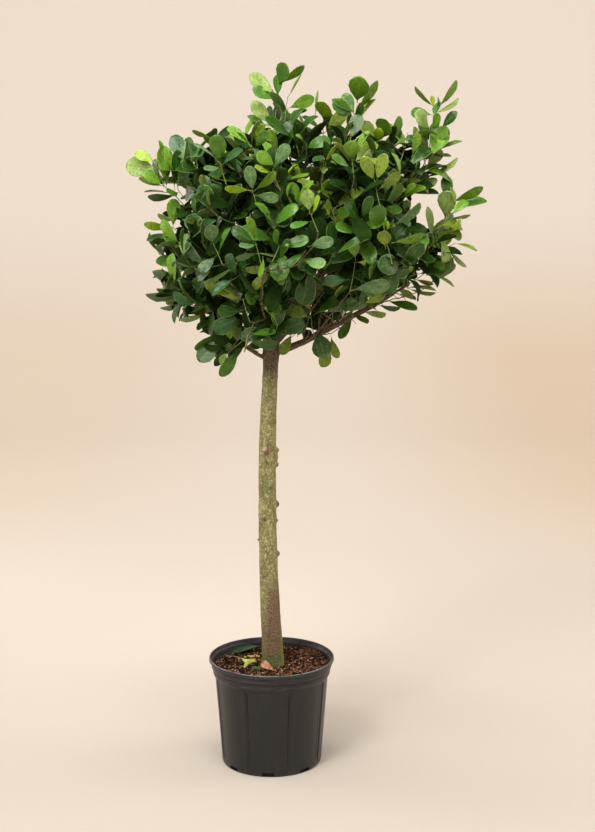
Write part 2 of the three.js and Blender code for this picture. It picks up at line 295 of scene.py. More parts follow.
pot_profile = [
    (0, 1.2 * MM), (FOOT - 16 * MM, 1.2 * MM), (FOOT - 12 * MM, 0), (FOOT - 5 * MM, 0),
    (FOOT - 2.4 * MM, 0.7 * MM), (FOOT - 0.8 * MM, 2.6 * MM), (FOOT, 6 * MM), (FOOT + 0.3 * MM, 12 * MM),
    (SHOULDER - 0.2 * MM, below(41)), (SHOULDER + 0.5 * MM, below(39)), (SHOULDER + 2.2 * MM, below(38)),
    (BAND - 4.6 * MM, below(37.4)), (BAND - 3.7 * MM, below(36.2)),
    *ringed(BAND - 3.4 * MM, below(34), below(25), 2, 0.45 * MM),
    (BAND - 2.4 * MM, below(23.4)), (BAND - 0.6 * MM, below(22.6)), (BAND, below(21.2)),
    *ringed(BAND + 0.3 * MM, below(19.5), below(10.5), 2, 0.4 * MM),
    (BAND + 1.2 * MM, below(9.4)), (LIP - 3 * MM, below(9)), (LIP - 0.9 * MM, below(8.2)), (LIP, below(6.6)),
    (LIP, below(3)), (LIP - 0.7 * MM, below(1.1)), (LIP - 1.8 * MM, below(0.1)), (LIP - 2.8 * MM, below(0.4)),
    (LIP - 3.4 * MM, below(1.6)), (LIP - 3.9 * MM, below(7.4)), (LIP - 4.6 * MM, below(8.6)),
    (BAND - WALL + 0.8 * MM, below(10)), *ringed(BAND - WALL - 0.4 * MM, below(11), below(20.5), 3, 0.4 * MM),
    (BAND - WALL - 0.8 * MM, below(21.2)), (BAND - WALL - 3.4 * MM, below(23.2)),
    (BAND - WALL - 4 * MM, below(35)), (SHOULDER - WALL, below(41)),
    (FOOT - WALL, 12 * MM), (FOOT - WALL - 2.5 * MM, 5 * MM), (FOOT - WALL - 6 * MM, 3.6 * MM), (0, 3.4 * MM),
]
pot_bm = spun(pot_profile, POT_STEPS)

# Rings across the wall, so that the grooves can end softly at the foot and under the band.
for height in [18 * MM, 26 * MM, 60 * MM, 110 * MM, 160 * MM, below(50), below(45)]:
    geometry = pot_bm.verts[:] + pot_bm.edges[:] + pot_bm.faces[:]
    bmesh.ops.bisect_plane(pot_bm, geom=geometry, plane_co=(0, 0, height), plane_no=(0, 0, 1))

panel = 2 * math.pi / POT_PANELS
for corner in pot_bm.verts:
    radius = math.hypot(corner.co.x, corner.co.y)
    if radius < FOOT - 8 * MM or corner.co.z > below(38.5):
        continue
    angle = math.atan2(corner.co.x, -corner.co.y)
    aside = abs((angle % panel) - panel / 2) * radius
    ends = min(1, max(0, (corner.co.z - 9 * MM) / (12 * MM)), max(0, (below(40) - corner.co.z) / (6 * MM)))
    pressed_in = GROOVE_DEPTH * math.exp(-((aside / GROOVE_WIDTH) ** 4)) * ends
    raised = 0.9 * MM * math.exp(-(((aside - 6.5 * MM) / (2.4 * MM)) ** 2)) * ends
    sag = 0.35 * MM * noise.noise(corner.co * 14)
    scale = (radius - pressed_in + raised + sag) / radius
    corner.co.x *= scale
    corner.co.y *= scale
pot_mesh = mesh_of("nursery_pot", pot_bm)

cutter_bm = bmesh.new()
for i in range(POT_PANELS):
    size = Matrix.Diagonal((SLOT_WIDTH, 16 * MM, SLOT_HIGH - SLOT_LOW, 1))
    place = Matrix.Translation((0, -FOOT, (SLOT_LOW + SLOT_HIGH) / 2))
    bmesh.ops.create_cube(cutter_bm, size=1, matrix=Matrix.Rotation(i * panel, 4, "Z") @ place @ size)
upright = [e for e in cutter_bm.edges if abs(e.verts[0].co.z - e.verts[1].co.z) < 1e-6]
bmesh.ops.bevel(
    cutter_bm, geom=upright, offset=1.2 * MM, segments=2, affect="EDGES", profile=0.5, material=-1
)
cutter = shown("slot_cutter", mesh_of("slot_cutter", cutter_bm))


def modified(piece, name):
    """The mesh of a piece with its modifiers applied. The piece itself is removed."""
    graph = bpy.context.evaluated_depsgraph_get()
    mesh = bpy.data.meshes.new_from_object(piece.evaluated_get(graph))
    mesh.name = name
    bpy.data.objects.remove(piece)
    return mesh


blank = shown("pot_blank", pot_mesh)
slots = blank.modifiers.new("slots", "BOOLEAN")
slots.object = cutter
slots.operation = "DIFFERENCE"
slots.solver = "EXACT"
pot_mesh = modified(blank, "nursery_pot")
bpy.data.objects.remove(cutter)
pot_mesh.materials.clear()
pot_mesh.transform(Matrix.Rotation(POT_TURN, 4, "Z"))
pot_mesh.shade_smooth()
pot_mesh.set_sharp_from_angle(angle=math.radians(38))

plastic = Finish("black_plastic", IOR=1.5)
level = plastic.axis("Z")
reach = plastic.distance(plastic.stretched((1, 1, 0)))
dust = plastic.grain(26, 4, 0.6).rise(0.45, 0.8) * 0.09 + plastic.grain(900, 2).rise(0.62, 0.8) * 0.25
streaks = plastic.grain(1, 3, 0.5, plastic.stretched((130, 130, 9))).rise(0.5, 0.8) * 0.12
scuffs = plastic.grain(1, 2, 0.5, plastic.stretched((60, 60, 110))).rise(0.70, 0.76) * 0.5
specks = plastic.grain(230, 2, 0.5).rise(0.73, 0.76) * plastic.grain(24, 2).rise(0.56, 0.62) * 0.9
rubs = plastic.grain(1, 4, 0.65, plastic.stretched((26, 26, 420))).rise(0.46, 0.66)
rubs = rubs * level.rise(below(41), below(36))
foot_dust = (1 - level.rise(3 * MM, 12 * MM)) * plastic.grain(500, 3).rise(0.42, 0.62) * 0.5
# The wall within the lip is painted darker, with less of the film, and made rougher: painted shade within the
# pot.
inside_painted_shade = (1 - reach.rise(LIP - 7 * MM, LIP - 5 * MM)) * level.rise(below(30), below(24))
film = (dust + streaks + scuffs + specks + rubs * 0.6 + foot_dust) * (1 - inside_painted_shade * 0.8)
# A painted highlight: a light bluish-grey line along the top of the lip, strongest at the front.
front = 1 - plastic.axis("Y").rise(-0.09, 0.03)
painted_lip_highlight = level.rise(below(2.6), below(0.8)) * (front * 0.75 + 0.2) * plastic.grain(160, 3).rise(0.3, 0.6)
black = plastic.mix(film, (0.0046, 0.0044, 0.0057), (0.052, 0.048, 0.049))
plastic.paint("Base Color", plastic.mix(painted_lip_highlight, black, (0.15, 0.155, 0.175)))
plastic.paint("Roughness", film * 0.22 + inside_painted_shade * 0.2 + 0.36)
plastic.emboss(plastic.grain(1400, 3) * 0.6 + plastic.grain(70, 2) + rubs * 0.8, 0.35, 0.5 * MM)
pot = shown("nursery_pot", pot_mesh, plastic)
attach(pot, "root")
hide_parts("pot")

# ---- Potting mix ---------------------------------------------------------------------------------
# A coarse mix of composted bark and fibre: a lumpy bed that fills the pot, and loose chips and
# shreds of bark lying all over it.

GROWTH_SEED = 7
rng = np.random.default_rng(GROWTH_SEED)
_, mix_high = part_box("potting_mix")
MIX_REACH = mix_high.x
MIX_LEVEL = mix_high.z
STEM_REACH = 24 * MM
CHIP_COUNT, STRAND_COUNT = 6400, 150
HEAP, HEAP_REACH = (70 * MM, 66 * MM), 34 * MM


def mix_height(x, y):
    """The bed's height: a little hollow round the stem, higher at the back right, lumpy all over."""
    reach = math.hypot(x, y) / MIX_REACH
    dome = 3 * MM * (reach - 1) + 3 * MM * reach * (x + y) / MIX_REACH / 2
    lumps = noise.noise(Vector((x, y, 0)) * 45) * 2.4 * MM + noise.noise(Vector((x, y, 3)) * 130) * 1.2 * MM
    heap = 6 * MM * math.exp(-(((x - HEAP[0]) ** 2 + (y - HEAP[1]) ** 2) / HEAP_REACH ** 2))
    return MIX_LEVEL - 1 * MM + dome + lumps + heap


bed_profile = [(0, 4.5 * MM), (FOOT - 10 * MM, 4.5 * MM), (FOOT - 6 * MM, 16 * MM)]
bed_profile += [(SHOULDER - 5.5 * MM, below(42)), (MIX_REACH, MIX_LEVEL - 4 * MM)]
bed_profile += [((MIX_REACH + 0.5 * MM) * (1 - i / 60), MIX_LEVEL) for i in range(61)]
bed_bm = spun(bed_profile, 144)
top = max(corner.co.z for corner in bed_bm.verts)
for corner in bed_bm.verts:
    if corner.co.z == top:
        corner.co.z = mix_height(corner.co.x, corner.co.y)

soil = Finish("potting_mix", Roughness=0.95, IOR=1.2)
soil_tone = soil.mix(soil.grain(260, 4).rise(0.4, 0.7), (0.005, 0.0025, 0.0015), (0.028, 0.012, 0.006))
soil.paint("Base Color", soil_tone)
soil.emboss(soil.grain(700, 4), 0.8, 1.5 * MM)
bed = shown("potting_bed", mesh_of("potting_bed", bed_bm), soil)
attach(bed, "root")
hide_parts("potting_mix")


def pressed(bm):
    """A small shape as arrays to stamp copies from: corners, triangles, material numbers and UVs."""
    bmesh.ops.triangulate(bm, faces=bm.faces)
    bm.verts.index_update()
    uv = bm.loops.layers.uv.verify()
    shape = {
        "corners": np.array([v.co for v in bm.verts]),
        "triangles": np.array([[v.index for v in f.verts] for f in bm.faces]),
        "numbers": np.array([f.material_index for f in bm.faces]),
        "uvs": np.array([[loop[uv].uv for loop in f.loops] for f in bm.faces]),
    }
    bm.free()
    return shape


def stamped(name, shapes, placed):
    """One mesh of many copies. Each is a shape's number, a matrix, and a material number for each of
    the shape's own."""
    corners, triangles, numbers, uvs = [], [], [], []
    start = 0
    for kind, matrix, paints in placed:
        shape = shapes[kind]
        turn = np.array(matrix.to_3x3())
        corners.append(shape["corners"] @ turn.T + np.array(matrix.translation))
        triangles.append(shape["triangles"] + start)
        numbers.append(np.array(paints)[shape["numbers"]])
        uvs.append(shape["uvs"])
        start += len(shape["corners"])
    corners, triangles = np.concatenate(corners), np.concatenate(triangles)
    mesh = bpy.data.meshes.new(name)
    mesh.vertices.add(len(corners))
    mesh.vertices.foreach_set("co", corners.astype(np.float32).ravel())
    mesh.loops.add(triangles.size)
    mesh.loops.foreach_set("vertex_index", triangles.astype(np.int32).ravel())
    mesh.polygons.add(len(triangles))
    mesh.polygons.foreach_set("loop_start", np.arange(0, triangles.size, 3, dtype=np.int32))
    mesh.polygons.foreach_set("material_index", np.concatenate(numbers).astype(np.int32))
    mesh.update(calc_edges=True)
    mesh.uv_layers.new(name="shape").uv.foreach_set("vector", np.concatenate(uvs).astype(np.float32).ravel())
    mesh.shade_smooth()
    mesh.validate()
    return mesh


def turned(direction, roll):
    """A turn that lays a shape's +Y along a direction, rolled about it."""
    return direction.to_track_quat("Y", "Z").to_matrix().to_4x4() @ Matrix.Rotation(roll, 4, "Y")


def chip_shape(length, width, thick, seed):
    """A chip of bark: a block with its corners knocked about."""
    bm = bmesh.new()
    bmesh.ops.create_cube(bm, size=1, matrix=Matrix.Diagonal((width, length, thick, 1)))
    long_edges = [e for e in bm.edges if abs(e.verts[0].co.y - e.verts[1].co.y) > length / 2]
    bmesh.ops.subdivide_edges(bm, edges=long_edges, cuts=1)
    for corner in bm.verts:
        shift = noise.noise_vector(corner.co / length * 3 + Vector((seed, 0, 0)))
        corner.co += Vector((shift.x * width, shift.y * length, shift.z * thick)) * 0.35
    return pressed(bm)


CHIP_SEED = 5
noise.seed_set(CHIP_SEED)
chips = [
    chip_shape(7 * MM, 3.6 * MM, 1.5 * MM, 1), chip_shape(5 * MM, 3.4 * MM, 1.6 * MM, 2),
    chip_shape(9 * MM, 2.0 * MM, 1.2 * MM, 3), chip_shape(4 * MM, 2.6 * MM, 1.8 * MM, 4),
    chip_shape(13 * MM, 1.1 * MM, 0.9 * MM, 5), chip_shape(6 * MM, 4.4 * MM, 1.2 * MM, 6),
    chip_shape(3 * MM, 2.2 * MM, 1.6 * MM, 7),
]
chip_rows = []
while len(chip_rows) < CHIP_COUNT:
    reach = (MIX_REACH - 0.5 * MM) * math.sqrt(rng.random())
    angle = rng.uniform(0, 2 * math.pi)
    x, y = reach * math.cos(angle), reach * math.sin(angle)
    if math.hypot(x - 2 * MM, y) < STEM_REACH:
        continue
    place = Vector((x, y, mix_height(x, y) + rng.uniform(-0.4, 1.4) * MM))
    lie = Vector((rng.normal(), rng.normal(), rng.normal() * 0.28)).normalized()
    matrix = Matrix.Translation(place) @ turned(lie, rng.normal() * 0.7)
    matrix = matrix @ Matrix.Scale(rng.uniform(0.55, 1.3), 4)
    shade = rng.choice(4, p=[0.50, 0.20, 0.23, 0.07] if x > rng.normal(0, 0.03) else [0.62, 0.17, 0.15, 0.06])
    chip_rows.append((rng.choice(len(chips), p=[0.16, 0.2, 0.14, 0.18, 0.08, 0.08, 0.16]), matrix, [shade]))

# Shreds of fibre, heaped at the back right, and a few pale bits of bark at the back left.
STRAND, BIT = 4, 5
for _ in range(STRAND_COUNT):
    x, y = rng.normal(HEAP[0], 24 * MM), rng.normal(HEAP[1], 20 * MM)
    if math.hypot(x, y) > MIX_REACH - 6 * MM:
        continue
    lie = Vector((rng.normal(), rng.normal(0, 0.5), rng.normal(0, 0.3))).normalized()
    place = Vector((x, y, mix_height(x, y) + rng.uniform(0.5, 3) * MM))
    matrix = Matrix.Translation(place) @ turned(lie, rng.uniform(0, 3))
    matrix = matrix @ Matrix.Scale(rng.uniform(0.9, 1.9), 4)
    chip_rows.append((STRAND, matrix, [rng.choice(3, p=[0.3, 0.45, 0.25])]))
for x, y, length in [(-52, 60, 1.0), (-44, 55, 1.5), (-36, 58, 1.3), (-60, 52, 0.9), (-30, 54, 0.9)]:
    place = Vector((x * MM, y * MM, mix_height(x * MM, y * MM) + 3 * MM))
    lie = Vector((1, rng.normal(0, 0.3), rng.normal(0, 0.2))).normalized()
    chip_rows.append((BIT, Matrix.Translation(place) @ turned(lie, 0.5) @ Matrix.Scale(length, 4), [4]))


def bark_chip(name, colour, light):
    """Broken bark of one shade, with lighter grain."""
    finish = Finish(name, Roughness=0.9, IOR=1.25)
    finish.paint("Base Color", finish.mix(finish.grain(420, 3).rise(0.35, 0.7), colour, light))
    finish.emboss(finish.grain(1500, 2), 0.5, 0.5 * MM)
    return finish


chip_finishes = [
    bark_chip("chip_dark", (0.006, 0.003, 0.0015), (0.022, 0.010, 0.005)),
    bark_chip("chip_red", (0.05, 0.018, 0.008), (0.15, 0.056, 0.025)),
    bark_chip("chip_brown", (0.13, 0.056, 0.027), (0.38, 0.19, 0.098)),
    bark_chip("chip_tan", (0.36, 0.205, 0.115), (0.54, 0.35, 0.21)),
    bark_chip("chip_straw", (0.40, 0.25, 0.07), (0.55, 0.38, 0.15)),
]
loose = shown("bark_chips", stamped("bark_chips", chips, chip_rows), *chip_finishes)
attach(loose, "root")

# ---- Stem and boughs -----------------------------------------------------------------------------
# Living wood in thin bark: smooth and speckled, khaki with green algae, browner at the foot, and browner
# and darker in the head, partly brown bark and partly painted shade under the leaves. The right side
# carries a painted orange-tan rim light. The stem has the stumps of old side shoots. The limbs grow out
# of the stem in one skin.

BARK_GRAIN = 1.9 * MM
STEM_ROUNDING, STEM_RELIEF = 7, 0.55 * MM
limbs = sorted(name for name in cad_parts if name.startswith("bough_"))

# Stumps at the sides of the stem: place, radius, and height as a share of it.
STUMPS = [
    (12.5, -2, 691, 5.2, 1.2), (10.5, -2, 676, 5.0, 2.4), (12.5, -2, 660, 4.9, 1.1),
    (12.5, -2, 574, 5.2, 1.5), (12, -2, 538, 3.6, 1.1), (-25, 0, 495, 3.6, 1.1), (14.5, 0, 464, 4.2, 1.5),
]
wood_bm = bmesh.new()
for name in ["trunk", *limbs]:
    wood_bm.from_mesh(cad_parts[name].data)
bmesh.ops.remove_doubles(wood_bm, verts=wood_bm.verts, dist=1e-5)
for x, y, z, size, tall in STUMPS:
    peg = Matrix.Translation(Vector((x, y, z)) * MM) @ Matrix.Diagonal((1, 1, tall, 1))
    bmesh.ops.create_icosphere(wood_bm, subdivisions=2, radius=size * MM, matrix=peg)
rough_wood = shown("rough_wood", mesh_of("rough_wood", wood_bm))
skin = rough_wood.modifiers.new("skin", "REMESH")
skin.mode = "VOXEL"
skin.voxel_size = BARK_GRAIN
rounding = rough_wood.modifiers.new("rounding", "SMOOTH")
rounding.factor = 0.5
rounding.iterations = STEM_ROUNDING

# Old scars and stumps: the place each is nearest to, its size, how far it stands out, and its colour.
DARK_SCAR, RED_SCAR, PALE_SCAR = (0.030, 0.019, 0.012), (0.19, 0.075, 0.05), (0.50, 0.38, 0.29)
BROWN_SCAR, STUMP = (0.115, 0.062, 0.036), (0.25, 0.17, 0.10)
SCARS = [
    (-8, -22, 689, 7.0, 0.9, RED_SCAR), (-14, -20, 697, 3.8, 1.3, PALE_SCAR),
    (-7, -22, 685, 3.4, -0.8, BROWN_SCAR), (-7, -22, 664, 2.2, -0.6, DARK_SCAR),
    (-10, -22, 669, 2.0, -0.6, DARK_SCAR), (4, -20, 849, 2.6, -0.6, DARK_SCAR),
    (11, -6, 752, 2.6, 0.4, DARK_SCAR), (20, -4, 693, 5.0, 0.2, STUMP),
    (18, -4, 677, 6.0, 0.2, STUMP), (20, -2, 659, 4.8, 0.2, BROWN_SCAR),
    (20, -4, 574, 6.0, 0.4, BROWN_SCAR), (18, -2, 538, 3.6, 0.2, DARK_SCAR),
    (-13, -24, 544, 4.6, 0.8, BROWN_SCAR), (-32, 0, 495, 3.6, 0.2, DARK_SCAR),
    (22, 0, 464, 4.8, 0.2, DARK_SCAR), (-17, -20, 417, 3.2, 0.7, BROWN_SCAR),
    (2, -22, 612, 3.6, 0.3, BROWN_SCAR),
]
FOOT_RADIUS = 24.6 * MM
wood_bm = bmesh.new()
wood_bm.from_mesh(modified(rough_wood, "rough_wood"))
for corner in wood_bm.verts:
    reach = math.hypot(corner.co.x - 2 * MM, corner.co.y)
    if corner.co.z < 0.25 and reach > FOOT_RADIUS:
        scale = (FOOT_RADIUS + (reach - FOOT_RADIUS) * 0.3) / reach
        corner.co.x = 2 * MM + (corner.co.x - 2 * MM) * scale
        corner.co.y *= scale
wood_bm.normal_update()
wood_skin = BVHTree.FromBMesh(wood_bm)
scar_places = [wood_skin.find_nearest(Vector((x, y, z)) * MM)[0] for x, y, z, *_ in SCARS]
for corner in wood_bm.verts:
    at = corner.co
    for middle, (_, _, _, size, rise, _) in zip(scar_places, SCARS):
        if abs(at.z - middle.z) < size * 2.5 * MM:
            out = Vector((middle.x + 5 * MM, middle.y, 0)).normalized()
            corner.co = at + out * rise * MM * math.exp(-((at - middle).length / size / MM) ** 2)
            at = corner.co
    along = Vector((at.x, at.y, at.z * 0.25))
    swell = noise.noise(at * 28) * 1.6 + noise.noise(along * 190)
    rings = max(0, noise.noise(Vector((0, 0, at.z * 95)) + at * 8) - 0.15) * 1.8
    corner.co = at + corner.normal * (swell * 0.6 + rings) * STEM_RELIEF

bark = Finish("bark", Roughness=0.85)
height = bark.axis("Z")
aside = bark.axis("X")
mottle = bark.grain(55, 4, 0.6)
speckle = bark.grain(400, 4, 0.7)
fleck = bark.grain(520, 3, 0.7)
cracks = bark.grain(1, 3, 0.6, bark.stretched((260, 260, 90)))
skin_tone = bark.mix(mottle.rise(0.36, 0.66), (0.190, 0.178, 0.055), (0.325, 0.318, 0.125))
greened = bark.mix(bark.grain(26, 4, 0.65).rise(0.46, 0.66) * 0.7, skin_tone, (0.165, 0.225, 0.055))
patched = bark.mix(bark.grain(190, 3, 0.6).rise(0.49, 0.60) * 0.75, greened, (0.51, 0.51, 0.26))
blots = bark.grain(1, 4, 0.65, bark.stretched((75, 75, 22))).rise(0.5, 0.62)
blotched = bark.mix(blots * 0.5, patched, (0.11, 0.09, 0.035))
dotted = bark.mix(speckle.rise(0.47, 0.62) * 0.85, blotched, (0.105, 0.082, 0.033))
# A painted rim light: the right side of the stem is tinted orange-tan.
painted_rim_light = bark.mix((aside + mottle * 0.01).rise(0.002, 0.016) * 0.36, dotted, (0.22, 0.145, 0.06))
veined = bark.mix(cracks.rise(0.55, 0.66) * 0.6, painted_rim_light, (0.095, 0.068, 0.034))
edge = aside + mottle * 0.022 + speckle * 0.008
low_brown = (1 - (height + mottle * 0.06).rise(0.40, 0.46)) * edge.rise(-0.002, 0.014) * 0.9
brown = bark.mix(speckle.rise(0.42, 0.62), (0.205, 0.130, 0.072), (0.045, 0.023, 0.012))
foot_brown = (1 - (height + mottle * 0.05).rise(0.31, 0.42)) * 0.72
browned = bark.mix(foot_brown, bark.mix(low_brown, veined, brown), brown)
moss = bark.mix(speckle.rise(0.46, 0.56), (0.15, 0.16, 0.045), (0.040, 0.045, 0.012))
foot_moss = (1 - (height + mottle * 0.02 + aside * 0.15).rise(0.245, 0.268)) * 0.9
edge_moss = (aside + mottle * 0.006).rise(0.021, 0.026) * (1 - height.rise(0.33, 0.42)) * 0.85
bright_moss = bark.mix(speckle, (0.10, 0.12, 0.02), (0.26, 0.30, 0.06))
mossed = bark.mix(edge_moss, bark.mix(foot_moss, browned, moss), bright_moss)
# Browner and darker in the head: partly the brown bark there and partly painted shade under the leaves. The
# limbs take the same dark brown.
head_brown_and_shade = (height + mottle * 0.05).rise(0.845, 0.905)
limb_brown_and_shade = bark.mix(speckle.rise(0.40, 0.58), (0.135, 0.095, 0.045), (0.030, 0.019, 0.009))
tone = bark.mix(head_brown_and_shade, mossed, limb_brown_and_shade)

for middle, (_, _, _, size, _, colour) in zip(scar_places, SCARS):
    gap = bark.distance(bark.place(), tuple(middle)) + fleck * 0.02
    tone = bark.mix(1 - gap.rise(size * MM * 0.8 + 9 * MM, size * MM * 1.25 + 11 * MM), tone, colour)
bark.paint("Base Color", tone)
bark.paint("Roughness", speckle * 0.2 + 0.68)
bark.emboss(speckle * 0.6 + fleck * 0.4 + mottle, 0.55, 1.2 * MM)
wood = shown("stem_and_boughs", mesh_of("stem_and_boughs", wood_bm), bark)
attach(wood, "root")
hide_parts("trunk", *limbs)

# ---- Shoots --------------------------------------------------------------------------------------
# This year's growth: green shoots a finger long, standing all over the outside of each mass and again
# deeper in. A few long ones stand out of the head at the top and on both sides.

LAYERS = [(0, 56 * MM), (40 * MM, 62 * MM), (80 * MM, 60 * MM)]
SEAM = 14 * MM
LEAF_REACH = 34 * MM
HEAD_MIDDLE = Vector((0.075, 0, 1.13))
UP = Vector((0, 0, 1))
PLACES_TRIED = 700
SHOOT_LENGTH = (62, 98)
LEAST_OUTWARD, FURTHEST_OUT, BARE_RADIUS, BARE_HEIGHT = 20 * MM, 8 * MM, 42 * MM, 0.93

ON_FACE = None
